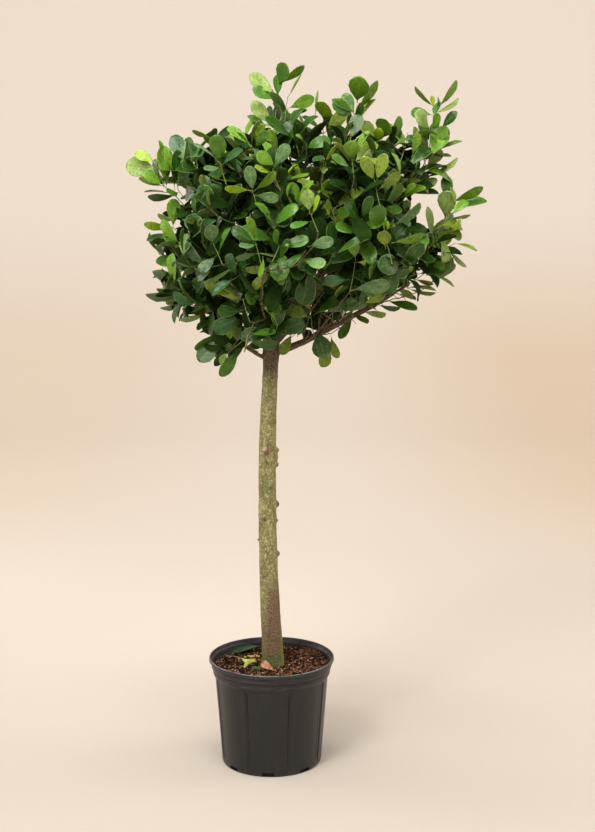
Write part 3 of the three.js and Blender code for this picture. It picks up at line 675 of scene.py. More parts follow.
# Sprays that stand out of the head, given in pixels of the camera's view. Each has how far back it
# is in millimetres, or ON_FACE where it stands on the head's near face, its stem from below, and its
# leaves. A leaf has its foot and end, its width, 1 if its end leans away or -1 if it leans nearer, 1 if
# its underside shows, and its green.
SPRAYS = {
    "foliage_tip_left": [
        (-8, [(190, 212), (178, 199), (171, 191), (165, 187), (161, 178), (158, 169), (156, 163)], [
            (156, 163, 136.5, 151.5, 12, -1, 0, "L"), (160, 170, 127.5, 166, 20, 1, 0, "P"),
            (163, 184, 166, 147, 15, -1, 0, "F"), (163, 185, 139, 180, 8, 0, 1, "O"),
            (163, 184, 147, 172, 13, -1, 0, "F"), (167, 188, 168, 165, 5, 1, 0, "D"),
            (162, 172, 161, 142, 3, 1, 0, "F"), (159, 181, 152, 160, 7, 1, 0, "D"),
            (162, 187, 155, 172, 8, 1, 0, "G"),
        ]),
        (-4, [(196, 214), (186, 200), (178, 190), (177, 184)], [
            (177, 186, 175, 151, 11, -1, 0, "D"), (179, 186, 182.5, 143.5, 13, 1, 0, "P"),
            (171, 190, 172, 163, 4.5, -1, 0, "F"), (177, 188, 177, 167, 4, 0, 0, "F"),
            (168, 198, 146, 188, 2.5, 1, 0, "D"), (174, 200, 149, 199.5, 7, 0, 0, "D"),
            (180, 195, 168, 194, 12, -1, 0, "G"),
        ]),
    ],
    "foliage_left_high": [
        (-14, [(205, 244), (190, 238), (178, 232), (172, 227)], [
            (174, 229, 174, 200, 14, -1, 0, "F"), (172, 232, 146, 222, 9, -1, 0, "L"),
            (174, 238, 147, 236.5, 7, 0, 0, "D"), (176, 215, 159, 215, 6, 1, 0, "O"),
            (190, 252, 163, 238, 9, -1, 0, "G"),
        ]),
        (ON_FACE, [(228, 158), (220, 148), (213, 140)], [
            (212, 138.5, 194, 129, 5, 0, 0, "O"), (213, 139, 229, 127, 7, 0, 0, "M"),
        ]),
    ],
    "foliage_left_mid": [
        (-10, [(214, 300), (203, 290), (195, 278), (191, 266)], [
            (189, 268, 157.5, 257.5, 14, 0, 0, "G"), (191, 281, 153, 277, 10, 0, 0, "M"),
            (190, 256, 172, 250, 7, 1, 0, "B"), (193, 262, 202, 228, 9, -1, 0, "L"),
            (195, 290, 204, 270, 8, -1, 0, "B"),
        ]),
        (2, [(222, 306), (208, 300), (198, 294), (192, 290)], [
            (193, 290, 148, 297, 11, 0, 0, "M"), (180, 294, 157.5, 299, 5, 1, 0, "D"),
            (196, 300, 162.5, 310, 5.5, 0, 0, "M"), (196, 286, 170, 284, 6, 1, 0, "G"),
        ]),
    ],
    "foliage_left_low": [
        (-2, [(240, 318), (226, 314), (214, 312), (207, 313)], [
            (213, 306, 193, 314, 9, -1, 0, "O"), (208, 314, 181, 323, 6, 0, 0, "F"),
            (217, 321, 198, 327, 6.5, 0, 0, "D"), (217, 328, 201, 333, 3, 1, 0, "O"),
            (215, 311, 208, 302, 9, 1, 0, "D"),
        ]),
    ],
    "foliage_under_left": [
        (-18, [(258, 352), (246, 345), (234, 336), (223, 333)], [
            (225, 332, 195, 346, 11, -1, 0, "G"), (224, 336, 201, 361, 19, 1, 0, "M"),
            (230, 333, 211, 353, 13, -1, 0, "D"), (250, 340, 228, 356, 12, -1, 0, "M"),
            (236, 350, 220.5, 374, 12, 0, 0, "G"), (244, 350, 260, 344, 8, 1, 0, "D"),
        ]),
    ],
    "foliage_tip_top": [
        (-6, [(276, 142), (275, 128), (276, 112), (278, 98), (279, 86)], [
            (276, 92, 250.5, 75, 13, -1, 0, "P"), (275, 102, 253, 90, 13.5, 1, 0, "G"),
            (278, 88, 287, 64, 16.5, 0, 0, "G"), (279, 85, 301, 64, 5.5, -1, 0, "F"),
            (280, 112, 281, 94, 23, -1, 0, "G"), (281, 119, 281, 104, 16, -1, 0, "G"),
            (273, 125, 253, 102.5, 13.5, 0, 0, "P"), (277, 98, 276, 76, 9, 1, 0, "G"),
            (274, 124, 266, 106, 8, 1, 0, "D"), (280, 130, 290, 112, 10, 1, 0, "D"),
        ]),
        (4, [(287, 138), (285, 120), (286, 106), (288, 98)], [
            (286, 98, 303, 77, 3.5, 1, 0, "O"), (289, 111, 313, 98, 11, -1, 0, "F"),
            (288, 118, 305, 110, 7, -1, 0, "D"), (284, 128, 284, 112, 9, 1, 0, "D"),
        ]),
    ],
    "foliage_top_left": [
        (-12, [(272, 146), (269, 134), (268, 124)], [
            (269, 121, 254, 134, 8, -1, 0, "L"), (267, 127, 248, 118, 8, 1, 0, "G"),
        ]),
    ],
    "foliage_tip_middle": [
        (-6, [(348, 142), (352, 130), (355, 116), (357, 104)], [
            (357.5, 101, 358, 82.5, 21, -1, 0, "F"), (358, 114, 373, 80, 6.5, 1, 0, "F"),
            (354, 119, 334, 101, 14, -1, 0, "G"), (355, 114, 335, 97.5, 8, 1, 0, "B"),
            (356, 125, 373, 99, 6.5, 0, 0, "O"), (352, 132, 345, 116, 9, -1, 0, "D"),
            (355, 113, 345, 95, 13, 1, 0, "G"), (354, 126, 362, 104, 8, 1, 0, "D"),
        ]),
    ],
    "foliage_top_right": [
        (-12, [(324, 148), (323, 134), (323, 122)], [
            (323, 121, 325, 101, 19, -1, 0, "L"), (320, 130, 305, 114, 8, 0, 0, "D"),
            (306, 112, 321, 92, 3.5, 1, 0, "F"), (325, 133, 345, 112, 12, -1, 0, "O"),
        ]),
    ],
    "foliage_right_high": [
        (-14, [(390, 158), (385, 148), (380, 140)], [
            (383, 141, 386, 118.5, 19, -1, 0, "F"), (378, 141, 362, 124, 14, 1, 0, "O"),
            (374, 146, 378, 131, 11, -1, 0, "L"), (388, 148, 403, 119, 9, 0, 0, "F"),
        ]),
    ],
    "foliage_tip_right": [
        (-6, [(410, 182), (420, 172), (427, 158), (430, 143), (432, 128), (434, 115), (435, 109)], [
            (437, 110, 459.5, 84, 6.5, -1, 0, "F"), (432, 104, 413, 89.5, 3, 1, 0, "O"),
            (433, 107, 431.5, 96, 5, 0, 0, "L"), (435, 113, 458, 100, 6.5, 0, 1, "O"),
            (436, 111, 443, 97, 6, 1, 0, "G"), (432, 115, 411.5, 111, 11, 1, 0, "G"),
            (428, 131, 418, 113.5, 17, -1, 0, "P"), (433, 132, 439.5, 114, 10, -1, 0, "F"),
            (431, 150, 446, 127.5, 12, -1, 0, "F"), (433, 119, 441, 104, 7, 1, 0, "G"),
            (430, 143, 422, 122, 11, 1, 0, "D"), (431, 138, 437, 120, 9, 1, 0, "D"),
            (430, 155, 410, 135, 12, 1, 0, "D"),
        ]),
        (4, [(408, 186), (418, 178), (427, 168), (433, 152), (438, 140), (441, 130)], [
            (441, 128, 453.5, 112.5, 10, 0, 0, "D"), (440, 146, 452.5, 131, 7, 1, 0, "D"),
            (434, 151, 460, 138, 5, -1, 0, "O"), (424, 169, 441, 150, 12, -1, 0, "O"),
            (437, 158, 451, 154, 4, 0, 0, "O"), (424, 175, 437, 166, 4.5, 1, 0, "D"),
            (427, 180, 457, 161, 6, -1, 1, "O"), (428, 158, 416, 133, 12, -1, 0, "O"),
        ]),
    ],
    "foliage_right_mid": [
        (-8, [(392, 212), (403, 200), (412, 190)], [
            (414, 188, 436.5, 181, 10, 0, 1, "O"), (410, 197, 437.5, 192, 8, -1, 0, "D"),
            (400, 190, 416, 178, 10, -1, 0, "O"),
        ]),
    ],
    "foliage_tip_far_right": [
        (-8, [(425, 252), (433, 240), (440, 228), (445, 218), (448, 208)], [
            (447, 200, 447, 177, 12.5, 1, 0, "G"), (444, 222, 448, 190.5, 19, -1, 0, "P"),
            (454, 200, 480, 185, 8, -1, 0, "F"), (454, 210, 485, 200, 10.5, 0, 0, "G"),
            (443, 229, 452, 216, 8, 1, 0, "D"), (449, 221, 457.5, 240, 11, -1, 0, "O"),
            (451, 222, 469, 213, 2.5, 1, 0, "O"),
        ]),
        (0, [(412, 262), (424, 254), (434, 250), (446, 248), (455, 243)], [
            (455, 243, 477, 249.5, 4.5, 0, 0, "L"), (446, 251, 467, 264, 6.5, -1, 1, "O"),
            (436, 258, 449, 261, 3.5, 1, 0, "D"), (430, 249, 450, 233, 14, -1, 0, "O"),
            (428, 251, 427, 229, 11, 1, 0, "D"), (434, 234, 424, 209, 7, 0, 0, "P"),
        ]),
    ],
    "foliage_right_low": [
        (-6, [(405, 286), (415, 280), (424, 274), (429, 271)], [
            (428, 277, 441, 264, 13, 0, 0, "G"), (429, 271, 424, 247, 9.5, -1, 0, "F"),
            (432, 275, 454, 285, 3.5, -1, 0, "F"), (413, 279, 433, 282, 4, 1, 0, "O"),
        ]),
        (-2, [(376, 305), (386, 300), (396, 293), (406, 287)], [
            (387, 300, 415, 311, 12, 0, 0, "G"), (376, 304, 399, 309, 5, 1, 0, "D"),
            (399, 293, 415, 301, 6, 1, 0, "D"), (397, 288, 413, 292, 7, -1, 0, "O"),
            (407, 287, 435, 288.5, 3.5, 0, 0, "O"), (409, 290, 434, 294.5, 4.5, -1, 1, "O"),
            (405, 286, 409, 265, 13, -1, 0, "O"), (392, 296, 379, 287, 8, -1, 0, "O"),
        ]),
    ],
    "foliage_hanging": [
        (-22, [(322, 326), (327, 331), (329, 334)], [
            (311, 332, 325, 356, 20, -1, 0, "M"), (324, 348, 325, 369, 13, 1, 0, "O"),
            (332, 336, 336, 358, 8.5, 0, 0, "O"),
        ]),
    ],
    "foliage_under_right": [
        (-12, [(340, 322), (348, 318), (353, 315)], [
            (353, 318, 341, 338, 10, 0, 0, "G"), (354, 314, 366, 318, 8, -1, 0, "O"),
            (370, 308, 382, 315, 6, 0, 0, "O"),
        ]),
        (-62, [(314, 336), (312, 326), (311, 316)], [
            (310, 320, 288, 307, 14, -1, 0, "O"), (312, 308, 300, 290, 12, -1, 0, "O"),
            (316, 314, 345, 293, 14, -1, 0, "G"), (336, 312, 357, 300, 11, -1, 0, "M"),
        ]),
        (-50, [(338, 322), (350, 312), (362, 304)], [
            (342, 312, 366, 299, 12, 0, 0, "M"), (356, 309, 347, 321, 8, 1, 0, "D"),
            (362, 304, 385, 294, 9, -1, 0, "O"), (366, 303, 378, 311, 6, 0, 0, "O"),
            (352, 311, 338, 302, 11, -1, 0, "D"),
        ]),
        (-30, [(280, 345), (288, 340), (296, 334)], [
            (298, 340, 302, 322, 9, -1, 0, "B"), (288, 332, 283, 354, 11, -1, 0, "O"),
        ]),
        # Dark filler leaves in painted shade, set behind the low right limb where the head is dark.
        (45, [(300, 330), (312, 316), (328, 306)], [
            (300, 325, 318, 318, 12, 0, 0, "S"), (306, 320, 322, 302, 13, 0, 0, "S"),
            (312, 316, 335, 318, 12, 0, 0, "S"), (318, 312, 330, 328, 12, 0, 0, "S"),
            (322, 310, 345, 306, 13, 0, 0, "S"), (328, 306, 340, 322, 10, 0, 0, "S"),
            (300, 328, 312, 336, 10, 0, 0, "S"), (328, 304, 350, 300, 12, 0, 0, "S"),
            (305, 326, 290, 318, 12, 0, 0, "S"),
        ]),
        (55, [(300, 322), (312, 306), (322, 294)], [
            (310, 304, 328, 288, 14, 0, 0, "S"), (316, 310, 336, 298, 14, 0, 0, "S"),
            (306, 296, 320, 280, 14, 0, 0, "S"), (320, 302, 340, 304, 13, 0, 0, "S"),
            (303, 306, 322, 312, 13, 0, 0, "S"), (322, 296, 338, 284, 13, 0, 0, "S"),
            (312, 300, 324, 306, 13, 0, 0, "D"),
        ]),
        (-2, [(306, 316), (316, 304), (324, 292)], [
            (324, 292, 312, 277, 12, -1, 0, "G"), (322, 296, 336, 284, 11, -1, 0, "D"),
            (318, 302, 330, 300, 10, 1, 0, "S"), (314, 306, 304, 294, 11, -1, 0, "D"),
        ]),
        (70, [(290, 335), (302, 318), (318, 300)], [
            (296, 328, 306, 304, 14, 0, 0, "S"), (300, 322, 322, 328, 13, 0, 0, "S"),
            (306, 314, 300, 296, 13, 0, 0, "S"), (310, 310, 330, 300, 13, 0, 0, "S"),
            (318, 304, 312, 288, 13, 0, 0, "S"), (318, 302, 340, 310, 13, 0, 0, "S"),
            (294, 330, 284, 312, 13, 0, 0, "S"),
        ]),
    ],
    "foliage_front_high_left": [
        (ON_FACE, [(262, 212), (256, 202), (253, 193)], [
            (252, 192, 250, 167, 13, -1, 0, "M"), (254, 190, 275, 173, 8, -1, 0, "F"),
            (250, 189, 226, 186, 8, -1, 0, "L"), (255, 197, 277, 199, 9, -1, 0, "M"),
        ]),
        (ON_FACE, [(280, 190), (275, 179), (273, 170)], [
            (273, 169, 288, 145, 12, -1, 0, "M"), (279, 163, 259, 154, 13, -1, 0, "F"),
            (272, 174, 255, 170, 7, -1, 0, "O"),
        ]),
        (ON_FACE, [(226, 184), (223, 174), (221, 164)], [
            (221, 162, 217, 138.5, 17, -1, 0, "G"), (219, 162, 198, 141, 3, 1, 0, "M"),
            (224, 165, 240, 147, 8, -1, 0, "B"), (222, 168, 206, 172, 8, -1, 0, "M"),
        ]),
        (ON_FACE, [(264, 168), (257, 158), (253, 148)], [
            (252, 145, 229, 127.5, 10, -1, 0, "F"), (253, 152, 234, 135, 9, -1, 0, "D"),
            (256, 150, 266, 133, 9, -1, 0, "G"),
        ]),
    ],
    "foliage_front": [
        (ON_FACE, [(318, 232), (314, 222), (311, 214)], [
            (309, 214, 306, 190, 14, -1, 0, "P"), (312, 216, 321, 197, 7, -1, 0, "L"),
            (310, 220, 292, 224, 9, -1, 0, "G"),
        ]),
        (ON_FACE, [(262, 270), (259, 255), (256, 244)], [
            (255, 238, 249, 218, 8, -1, 0, "F"), (255, 243, 233, 228, 12, -1, 0, "D"),
            (258, 244, 241, 248, 7, -1, 0, "M"), (259, 252, 236, 256, 7, -1, 0, "M"),
            (266, 258, 264, 275, 6, -1, 0, "F"),
        ]),
        (ON_FACE, [(272, 262), (276, 254), (279, 247)], [
            (280, 246, 308, 241, 14, -1, 0, "G"), (279, 246, 272, 230, 8, -1, 0, "G"),
        ]),
        (ON_FACE, [(298, 264), (302, 257), (306, 250)], [
            (310, 243, 331, 240, 12, -1, 0, "M"), (303, 262, 325, 266, 14, -1, 0, "G"),
            (304, 252, 288, 262, 9, -1, 0, "D"),
        ]),
    ],
    "foliage_front_high_right": [
        (ON_FACE, [(336, 222), (332, 211), (330, 202)], [
            (330, 201, 325, 179, 15, -1, 0, "F"), (334, 208, 360, 186, 13, -1, 0, "O"),
            (333, 212, 350, 212, 9, -1, 0, "G"),
        ]),
        (ON_FACE, [(380, 205), (377, 193), (376, 183)], [
            (376, 182, 362, 158, 14, -1, 0, "O"), (376, 182, 386, 155, 14, -1, 0, "O"),
            (377, 190, 398, 172, 9, -1, 0, "O"),
        ]),
        (ON_FACE, [(354, 178), (353, 169), (352, 160)], [
            (352, 160, 351, 144, 16, -1, 0, "F"), (350, 168, 335, 155, 8, -1, 0, "G"),
        ]),
    ],
    "foliage_front_left": [
        (ON_FACE, [(222, 264), (218, 254), (214, 245)], [
            (214, 245, 210, 224, 15, -1, 0, "M"), (219, 250, 229, 228, 6, -1, 0, "G"),
            (216, 256, 200, 270, 12, -1, 0, "D"),
        ]),
    ],
    "foliage_front_low": [
        (ON_FACE, [(262, 308), (261, 298), (260, 288)], [
            (261, 284, 238, 269, 14, -1, 0, "G"), (259, 289, 289, 274, 13, -1, 0, "G"),
            (261, 297, 245, 297, 13, -1, 0, "G"), (262, 300, 279, 309, 12, -1, 0, "G"),
        ]),
        (ON_FACE, [(250, 322), (246, 310), (243, 298)], [
            (240, 290, 206, 287, 15, -1, 0, "O"), (243, 303, 216, 291, 7, -1, 0, "O"),
            (240, 310, 218, 313, 13, -1, 0, "D"),
        ]),
        (ON_FACE, [(244, 352), (246, 343), (248, 334)], [
            (249, 332, 275, 334, 10, -1, 0, "G"), (252, 342, 276, 346, 9, -1, 0, "D"),
        ]),
    ],
    "foliage_front_right": [
        (ON_FACE, [(350, 292), (353, 277), (355, 262)], [
            (356, 258, 352, 238, 13, -1, 0, "F"), (354, 262, 376, 263, 6, -1, 0, "L"),
            (346, 282, 325, 280, 11, -1, 0, "B"), (352, 290, 388, 281, 13, -1, 0, "M"),
        ]),
        (ON_FACE, [(392, 264), (388, 248), (382, 234)], [
            (376, 232, 375, 204, 18, -1, 0, "G"), (383, 250, 383, 229, 14, -1, 0, "O"),
            (395, 238, 422, 236, 8, -1, 0, "F"), (385, 233, 388, 221, 8, -1, 0, "L"),
            (400, 222, 420, 206, 8, -1, 0, "M"),
        ]),
    ],
}
# Short sprigs in millimetres, on the low right limb and over the seams at the top: base, tip and how many
# leaves.
SPRIGS = {
    "foliage_under_right": [
        ((130, -20, 966), (128, -56, 1020), 5), ((150, -18, 976), (182, -52, 1010), 5),
    ],
    "foliage_top_right": [
        ((62, -58, 1180), (60, -70, 1262), 9), ((34, -64, 1180), (26, -74, 1256), 9),
        ((90, -66, 1180), (98, -74, 1258), 9), ((64, 58, 1180), (66, 68, 1266), 9),
        ((96, 62, 1180), (104, 72, 1262), 9),
    ],
}
SINGLE = [name for name in SPRAYS if "tip" in name or "hanging" in name]
SPARSE = {"foliage_right_low": 1.35, "foliage_left_low": 1.15}
masses = sorted(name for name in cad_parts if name.startswith("foliage_"))


def places_on(name, count):
    """Random places all over a mass, each with the way out of it."""
    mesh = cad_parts[name].data
    corners = np.array([vertex.co for vertex in mesh.vertices])
    triangles = corners[np.array([face.vertices for face in mesh.polygons])]
    outward = np.cross(triangles[:, 1] - triangles[:, 0], triangles[:, 2] - triangles[:, 0])
    area = np.linalg.norm(outward, axis=1)
    picks = rng.choice(len(triangles), size=count, p=area / area.sum())
    shares = rng.dirichlet((1, 1, 1), count)
    places = np.einsum("nc,ncd->nd", shares, triangles[picks])
    return [(Vector(place), Vector(way)) for place, way in zip(places, outward[picks] / area[picks, None])]


def tree_of(names):
    """The faces of some masses, ready to be asked what is near."""
    corners, faces = [], []
    for name in names:
        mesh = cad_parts[name].data
        faces += [[len(corners) + i for i in face.vertices] for face in mesh.polygons]
        corners += [vertex.co for vertex in mesh.vertices]
    return BVHTree.FromPolygons(corners, faces)


def shoot_line(tip, arrive, leave, length, steps=6):
    """A shoot's points from base to tip. It sets out one way and arrives another."""
    points = [tip]
    for i in range(steps):
        heading = arrive.lerp(leave, (i + 0.5) / steps).normalized()
        points.append(points[-1] - heading * (length / steps))
    return points[::-1]


# The open wedge by the far right spray, as circles in millimetres seen from the front. The view through
# it isn't quite along the depth, so a place is moved along SLANT to the plane of the circles.
GAPS = [(331, 1220, 13), (306, 1214, 8), (339, 1198, 11), (339, 1179, 8), (316, 1173, 10), (349, 1243, 8)]
SLANT = Vector((-0.09, 0, 0.03))


def in_gap(point, room):
    """Whether a place lies nearer than room to an open place of the head."""
    seen = point + SLANT * point.y
    return any(math.hypot(seen.x - x * MM, seen.z - z * MM) < size * MM + room for x, z, size in GAPS)


def outside(point):
    """How far a place is outside the head."""
    near, outward, _, distance = whole_head.find_nearest(point)
    return distance if (point - near).dot(outward) > 0 else 0


# The bounds of a listed leaf: its real length in millimetres, its width as a share of that, its turn
# in degrees, and in millimetres how far in a spray on the face stands and how far a leaf leans at most.
LONGEST, SHORTEST = 74, 46
BROADEST, SLIMMEST = 0.58, 0.46
LEAST_TURN, MOST_TURN = 12, 80
SET_IN, LEAN_FREE, LEAN_ON_FACE = 34, 58, 34


def face_depth(u, v):
    """How far back the head's near face is at a pixel of the view, in millimetres."""
    ends = []
    for back in (-600, 600):
        x, z, _ = seen_at(u, v, back)
        ends.append(Vector((x, back, z)) * MM)
    return whole_head.ray_cast(ends[0], (ends[1] - ends[0]).normalized())[0].y / MM


def set_leaf(row, k, count, back, lean):
    """The k-th leaf of a spray in millimetres: foot, end, how much farther back the end is, width, turn
    away from the front in degrees, and green. A leaf that looks too short for its width leans."""
    u0, v0, u1, v1, wide, way, under, letter = row
    x0, z0, pixel = seen_at(u0, v0, back)
    x1, z1, _ = seen_at(u1, v1, back)
    seen, width = math.hypot(x1 - x0, z1 - z0), wide * pixel
    whole = max(seen, min(width / BROADEST, LONGEST), SHORTEST if seen > 25 and wide > 5 else seen)
    away = math.sqrt(max(0, whole ** 2 - seen ** 2)) * (way or (1 if k % 2 else -1))
    away = max(-lean, min(lean, away))
    true_width = max(width, SLIMMEST * math.hypot(seen, away))
    turn = math.degrees(math.acos(min(1, width / true_width)))
    turn = max(LEAST_TURN, min(MOST_TURN, turn)) * (1 if (k * 7 + count) % 2 else -1)
    turn = 180 - abs(turn) if under else turn
    return [round(value) for value in (x0, z0, x1, z1, away, true_width, turn)] + [letter]


def spray(name, back, stem, rows):
    """A spray of the table as a shoot."""
    lean = LEAN_ON_FACE if back is ON_FACE else LEAN_FREE
    if back is ON_FACE:
        back = round(face_depth(*stem[-1])) + SET_IN
    line = []
    for u, v in stem:
        x, z, _ = seen_at(u, v, back)
        line.append(Vector((round(x), back, round(z))) * MM)
    leaves = [set_leaf(row, k, len(rows), back, lean) for k, row in enumerate(rows)]
    return {"mass": name, "line": line, "leaves": leaves, "back": back, "deep": False}


shoots = []
taken = []
others = {name: tree_of([other for other in masses if other != name]) for name in masses}
whole_head = tree_of(masses)
for name in masses:
    for back, stem, rows in SPRAYS.get(name, []):
        shoots.append(spray(name, back, stem, rows))
        line = shoots[-1]["line"]
        taken += [(line[-1], 0), (line[len(line) // 2], 0)]
    for base, tip, count in SPRIGS.get(name, []):
        base, tip = Vector(base) * MM, Vector(tip) * MM
        run = tip - base
        line = shoot_line(tip, (run + UP * 0.01).normalized(), run.normalized(), run.length)
        shoots.append({"mass": name, "line": line, "leaves": count, "back": None, "deep": False})
    if name in SINGLE:
        continue
    for depth, gap in LAYERS:
        for place, way in places_on(name, PLACES_TRIED):
            if others[name].find_nearest(place, SEAM)[0] is not None:
                continue
            radial = (place - HEAD_MIDDLE).normalized()
            lift = UP * max(0, min(1, 0.7 + way.z * 1.6))
            jitter = Vector(rng.normal(0, 0.2, 3))
            arrive = (radial * 0.5 + way * 0.3 + lift + jitter).normalized()
            tip = place - radial * depth - arrive * LEAF_REACH * rng.uniform(0.75, 1.15)
            layer = [spot for spot, level in taken if level == depth]
            if any((tip - spot).length < gap * SPARSE.get(name, 1) for spot in layer):
                continue
            leave = (radial * 0.9 + way * 0.3 + jitter).normalized()
            line = shoot_line(tip, arrive, leave, rng.uniform(*SHOOT_LENGTH) * MM)
            if (tip - HEAD_MIDDLE).length - (line[0] - HEAD_MIDDLE).length < LEAST_OUTWARD:
                continue
            if any(point.z < BARE_HEIGHT and math.hypot(point.x, point.y) < BARE_RADIUS for point in line):
                continue
            if any(outside(point) > FURTHEST_OUT for point in line):
                continue
            taken.append((tip, depth))
            count = int(rng.integers(8, 12)) if depth == 0 else int(rng.integers(6, 9))
            shoots.append({"mass": name, "line": line, "leaves": count, "back": None, "deep": depth > 0})



def crosses_gap(shoot):
    """Whether a shoot grown at random passes through an open place of the head."""
    return shoot["back"] is None and any(in_gap(place, 4 * MM) for place in shoot["line"])


shoots = [shoot for shoot in shoots if not crosses_gap(shoot)]

# ---- Branchlets ----------------------------------------------------------------------------------
# The brown twigs between the limbs and the shoots. Each grows from the nearest fitting place on the
# limbs or on an older twig, and is as thick as the shoots that it carries need.

TWIG_RADIUS, TWIG_POWER = 1.15 * MM, 0.43
TWIG_STEP = 13 * MM
DETOUR = 0.42
FORK = Vector((0.001, 0, 0.905))
RING_GAP = 8 * MM


def limb_rings(name):
    """The middles of a limb's rings, from the fork outwards."""
    corners = np.unique(np.round([vertex.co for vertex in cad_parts[name].data.vertices], 5), axis=0)
    reach = np.linalg.norm(corners - np.array(FORK), axis=1)
    order = np.argsort(reach)
    breaks = np.flatnonzero(np.diff(reach[order]) > RING_GAP) + 1
    return [Vector(ring.mean(axis=0)) for ring in np.split(corners[order], breaks) if len(ring) > 5]


class Growth:
    """All the points of the wood: place, heading, the point each grew from, and way back to the fork."""

    def __init__(self):
        self.places, self.headings, self.parents, self.ways = [], [], [], []

    def add(self, place, parent):
        if parent is None:
            heading, way = (place - FORK).normalized(), (place - FORK).length
        else:
            step = place - self.places[parent]
            heading, way = step.normalized(), self.ways[parent] + step.length
        self.places.append(place)
        self.headings.append(heading)
        self.parents.append(parent)
        self.ways.append(way)
        return len(self.places) - 1

    def cost(self, points, aims, start):
        """How dear it is to reach each place, heading as it does, from each of the wood's points from
        start on."""
        away = points[:, None] - np.array(self.places[start:])[None]
        distance = np.linalg.norm(away, axis=2) + 1e-9
        agree = np.einsum("pnd,nd->pn", away, np.array(self.headings[start:])) / distance
        aimed = np.einsum("pnd,pd->pn", away, aims) / distance
        return distance * (2.1 - 0.5 * agree - 0.6 * aimed) + DETOUR * np.array(self.ways[start:])


def hermite(start, end, leave, arrive, steps):
    """Places along a smooth curve that leaves and arrives with given tangents."""
    places = []
    for i in range(1, steps + 1):
        t = i / steps
        near_part = start * (1 + 2 * t) * (1 - t) ** 2 + leave * t * (1 - t) ** 2
        places.append(near_part + end * t * t * (3 - 2 * t) + arrive * t * t * (t - 1))
    return places


growth = Growth()
for name in limbs:
    parent = None
    for place in limb_rings(name)[1:]:
        parent = growth.add(place, parent)
LIMB_POINTS = len(growth.places)

bases = np.array([shoot["line"][0] for shoot in shoots])
aims = np.array([(shoot["line"][1] - shoot["line"][0]).normalized() for shoot in shoots])
costs = growth.cost(bases, aims, 0)
nearest, lowest = costs.argmin(axis=1), costs.min(axis=1)
twigs = []
for _ in shoots:
    pick = int(lowest.argmin())
    lowest[pick] = np.inf
    shoot = shoots[pick]
    parent = int(nearest[pick])
    start, end = growth.places[parent], shoot["line"][0]
    reach = (end - start).length
    leave = (growth.headings[parent] * 0.6 + (end - start).normalized()).normalized() * reach * 0.7
    arrive = (shoot["line"][1] - end).normalized() * reach * 0.5
    steps = max(2, round(reach / TWIG_STEP))
    bow = hermite(start, end, leave, arrive, steps)
    if any(outside(place) > 12 * MM for place in bow):
        bow = hermite(start, end, (end - start) * 0.9, (end - start) * 0.9, steps)
    path = [parent]
    first = len(growth.places)
    for place in bow[:-1]:
        path.append(growth.add(place + Vector(rng.normal(0, 0.8, 3)) * MM, path[-1]))
    path.append(growth.add(end, path[-1]))
    twigs.append((path, shoot))
    costs = growth.cost(bases, aims, first)
    better = costs.min(axis=1) < lowest
    better &= np.isfinite(lowest)
    nearest[better] = costs.argmin(axis=1)[better] + first
    lowest[better] = costs.min(axis=1)[better]

loads = [0] * len(growth.places)
for path, _ in twigs:
    loads[path[-1]] += 1
for i in range(len(loads) - 1, -1, -1):
    if growth.parents[i] is not None:
        loads[growth.parents[i]] += loads[i]


def tubes(name, lines, steps=1):
    """One mesh of many tapering tubes. Each line is a list of places and radii."""
    curve = bpy.data.curves.new(name, "CURVE")
    curve.dimensions = "3D"
    curve.bevel_depth = 1
    curve.bevel_resolution = steps
    curve.use_fill_caps = True
    for line in lines:
        spline = curve.splines.new("POLY")
        spline.points.add(len(line) - 1)
        for point, (place, radius) in zip(spline.points, line):
            point.co = (*place, 1)
            point.radius = radius
    piece = bpy.data.objects.new(name, curve)
    bpy.context.scene.collection.objects.link(piece)
    mesh = modified(piece, name)
    mesh.materials.clear()
    mesh.shade_smooth()
    return mesh


twig_lines = []
for path, _ in twigs:
    radii = [TWIG_RADIUS * max(loads[i], 1) ** TWIG_POWER for i in path]
    radii[0] = radii[1] * 1.25
    twig_lines.append([(growth.places[i], radius) for i, radius in zip(path, radii)])

# Dead, leafless side twigs in the shade of the head.
BARE_TWIGS, LIMB_TWIGS = 130, 75
low_limb = [i for i in range(LIMB_POINTS) if growth.places[i].z < 1.08 and growth.places[i].x > 0.05]
for k in range(BARE_TWIGS):
    path, _ = twigs[int(rng.integers(len(twigs) // 2))]
    start = int(path[int(rng.integers(len(path)))]) if k % 2 else int(rng.choice(low_limb))
    place, heading = growth.places[start], Vector(rng.normal(0, 1, 3)).normalized()
    heading = (heading + growth.headings[start] * 0.5).normalized()
    line = [(place, 0.95 * MM), (place + heading * 3 * MM, 0.9 * MM)]
    for i in range(int(rng.integers(3, 6))):
        place = place + heading * rng.uniform(8, 15) * MM
        near, outward, _, _ = whole_head.find_nearest(place)
        if (place - near).dot(outward) > 6 * MM and k % 2:
            break
        heading = (heading + Vector(rng.normal(0, 0.3, 3))).normalized()
        line.append((place, (0.75 - 0.09 * i) * MM))
    twig_lines.append(line)

# A thicket of longer brown twigs that rise from the low right limb.
for k in range(LIMB_TWIGS):
    start = int(rng.choice([i for i in low_limb if growth.places[i].x < 0.24]))
    place = growth.places[start]
    heading = growth.headings[start] * 0.55 + UP * rng.uniform(0.15, 0.9) + Vector(rng.normal(0, 0.3, 3))
    heading = (heading - Vector((0, 0.35, 0)) * rng.random()).normalized()
    thick = rng.uniform(1.0, 1.9)
    line = [(place, thick * MM)]
    steps = int(rng.integers(4, 8))
    for i in range(steps):
        place = place + heading * rng.uniform(10, 17) * MM
        heading = (heading + Vector(rng.normal(0, 0.2, 3)) + UP * 0.05).normalized()
        line.append((place, thick * (1 - 0.6 * i / steps) * MM))
    twig_lines.append(line)

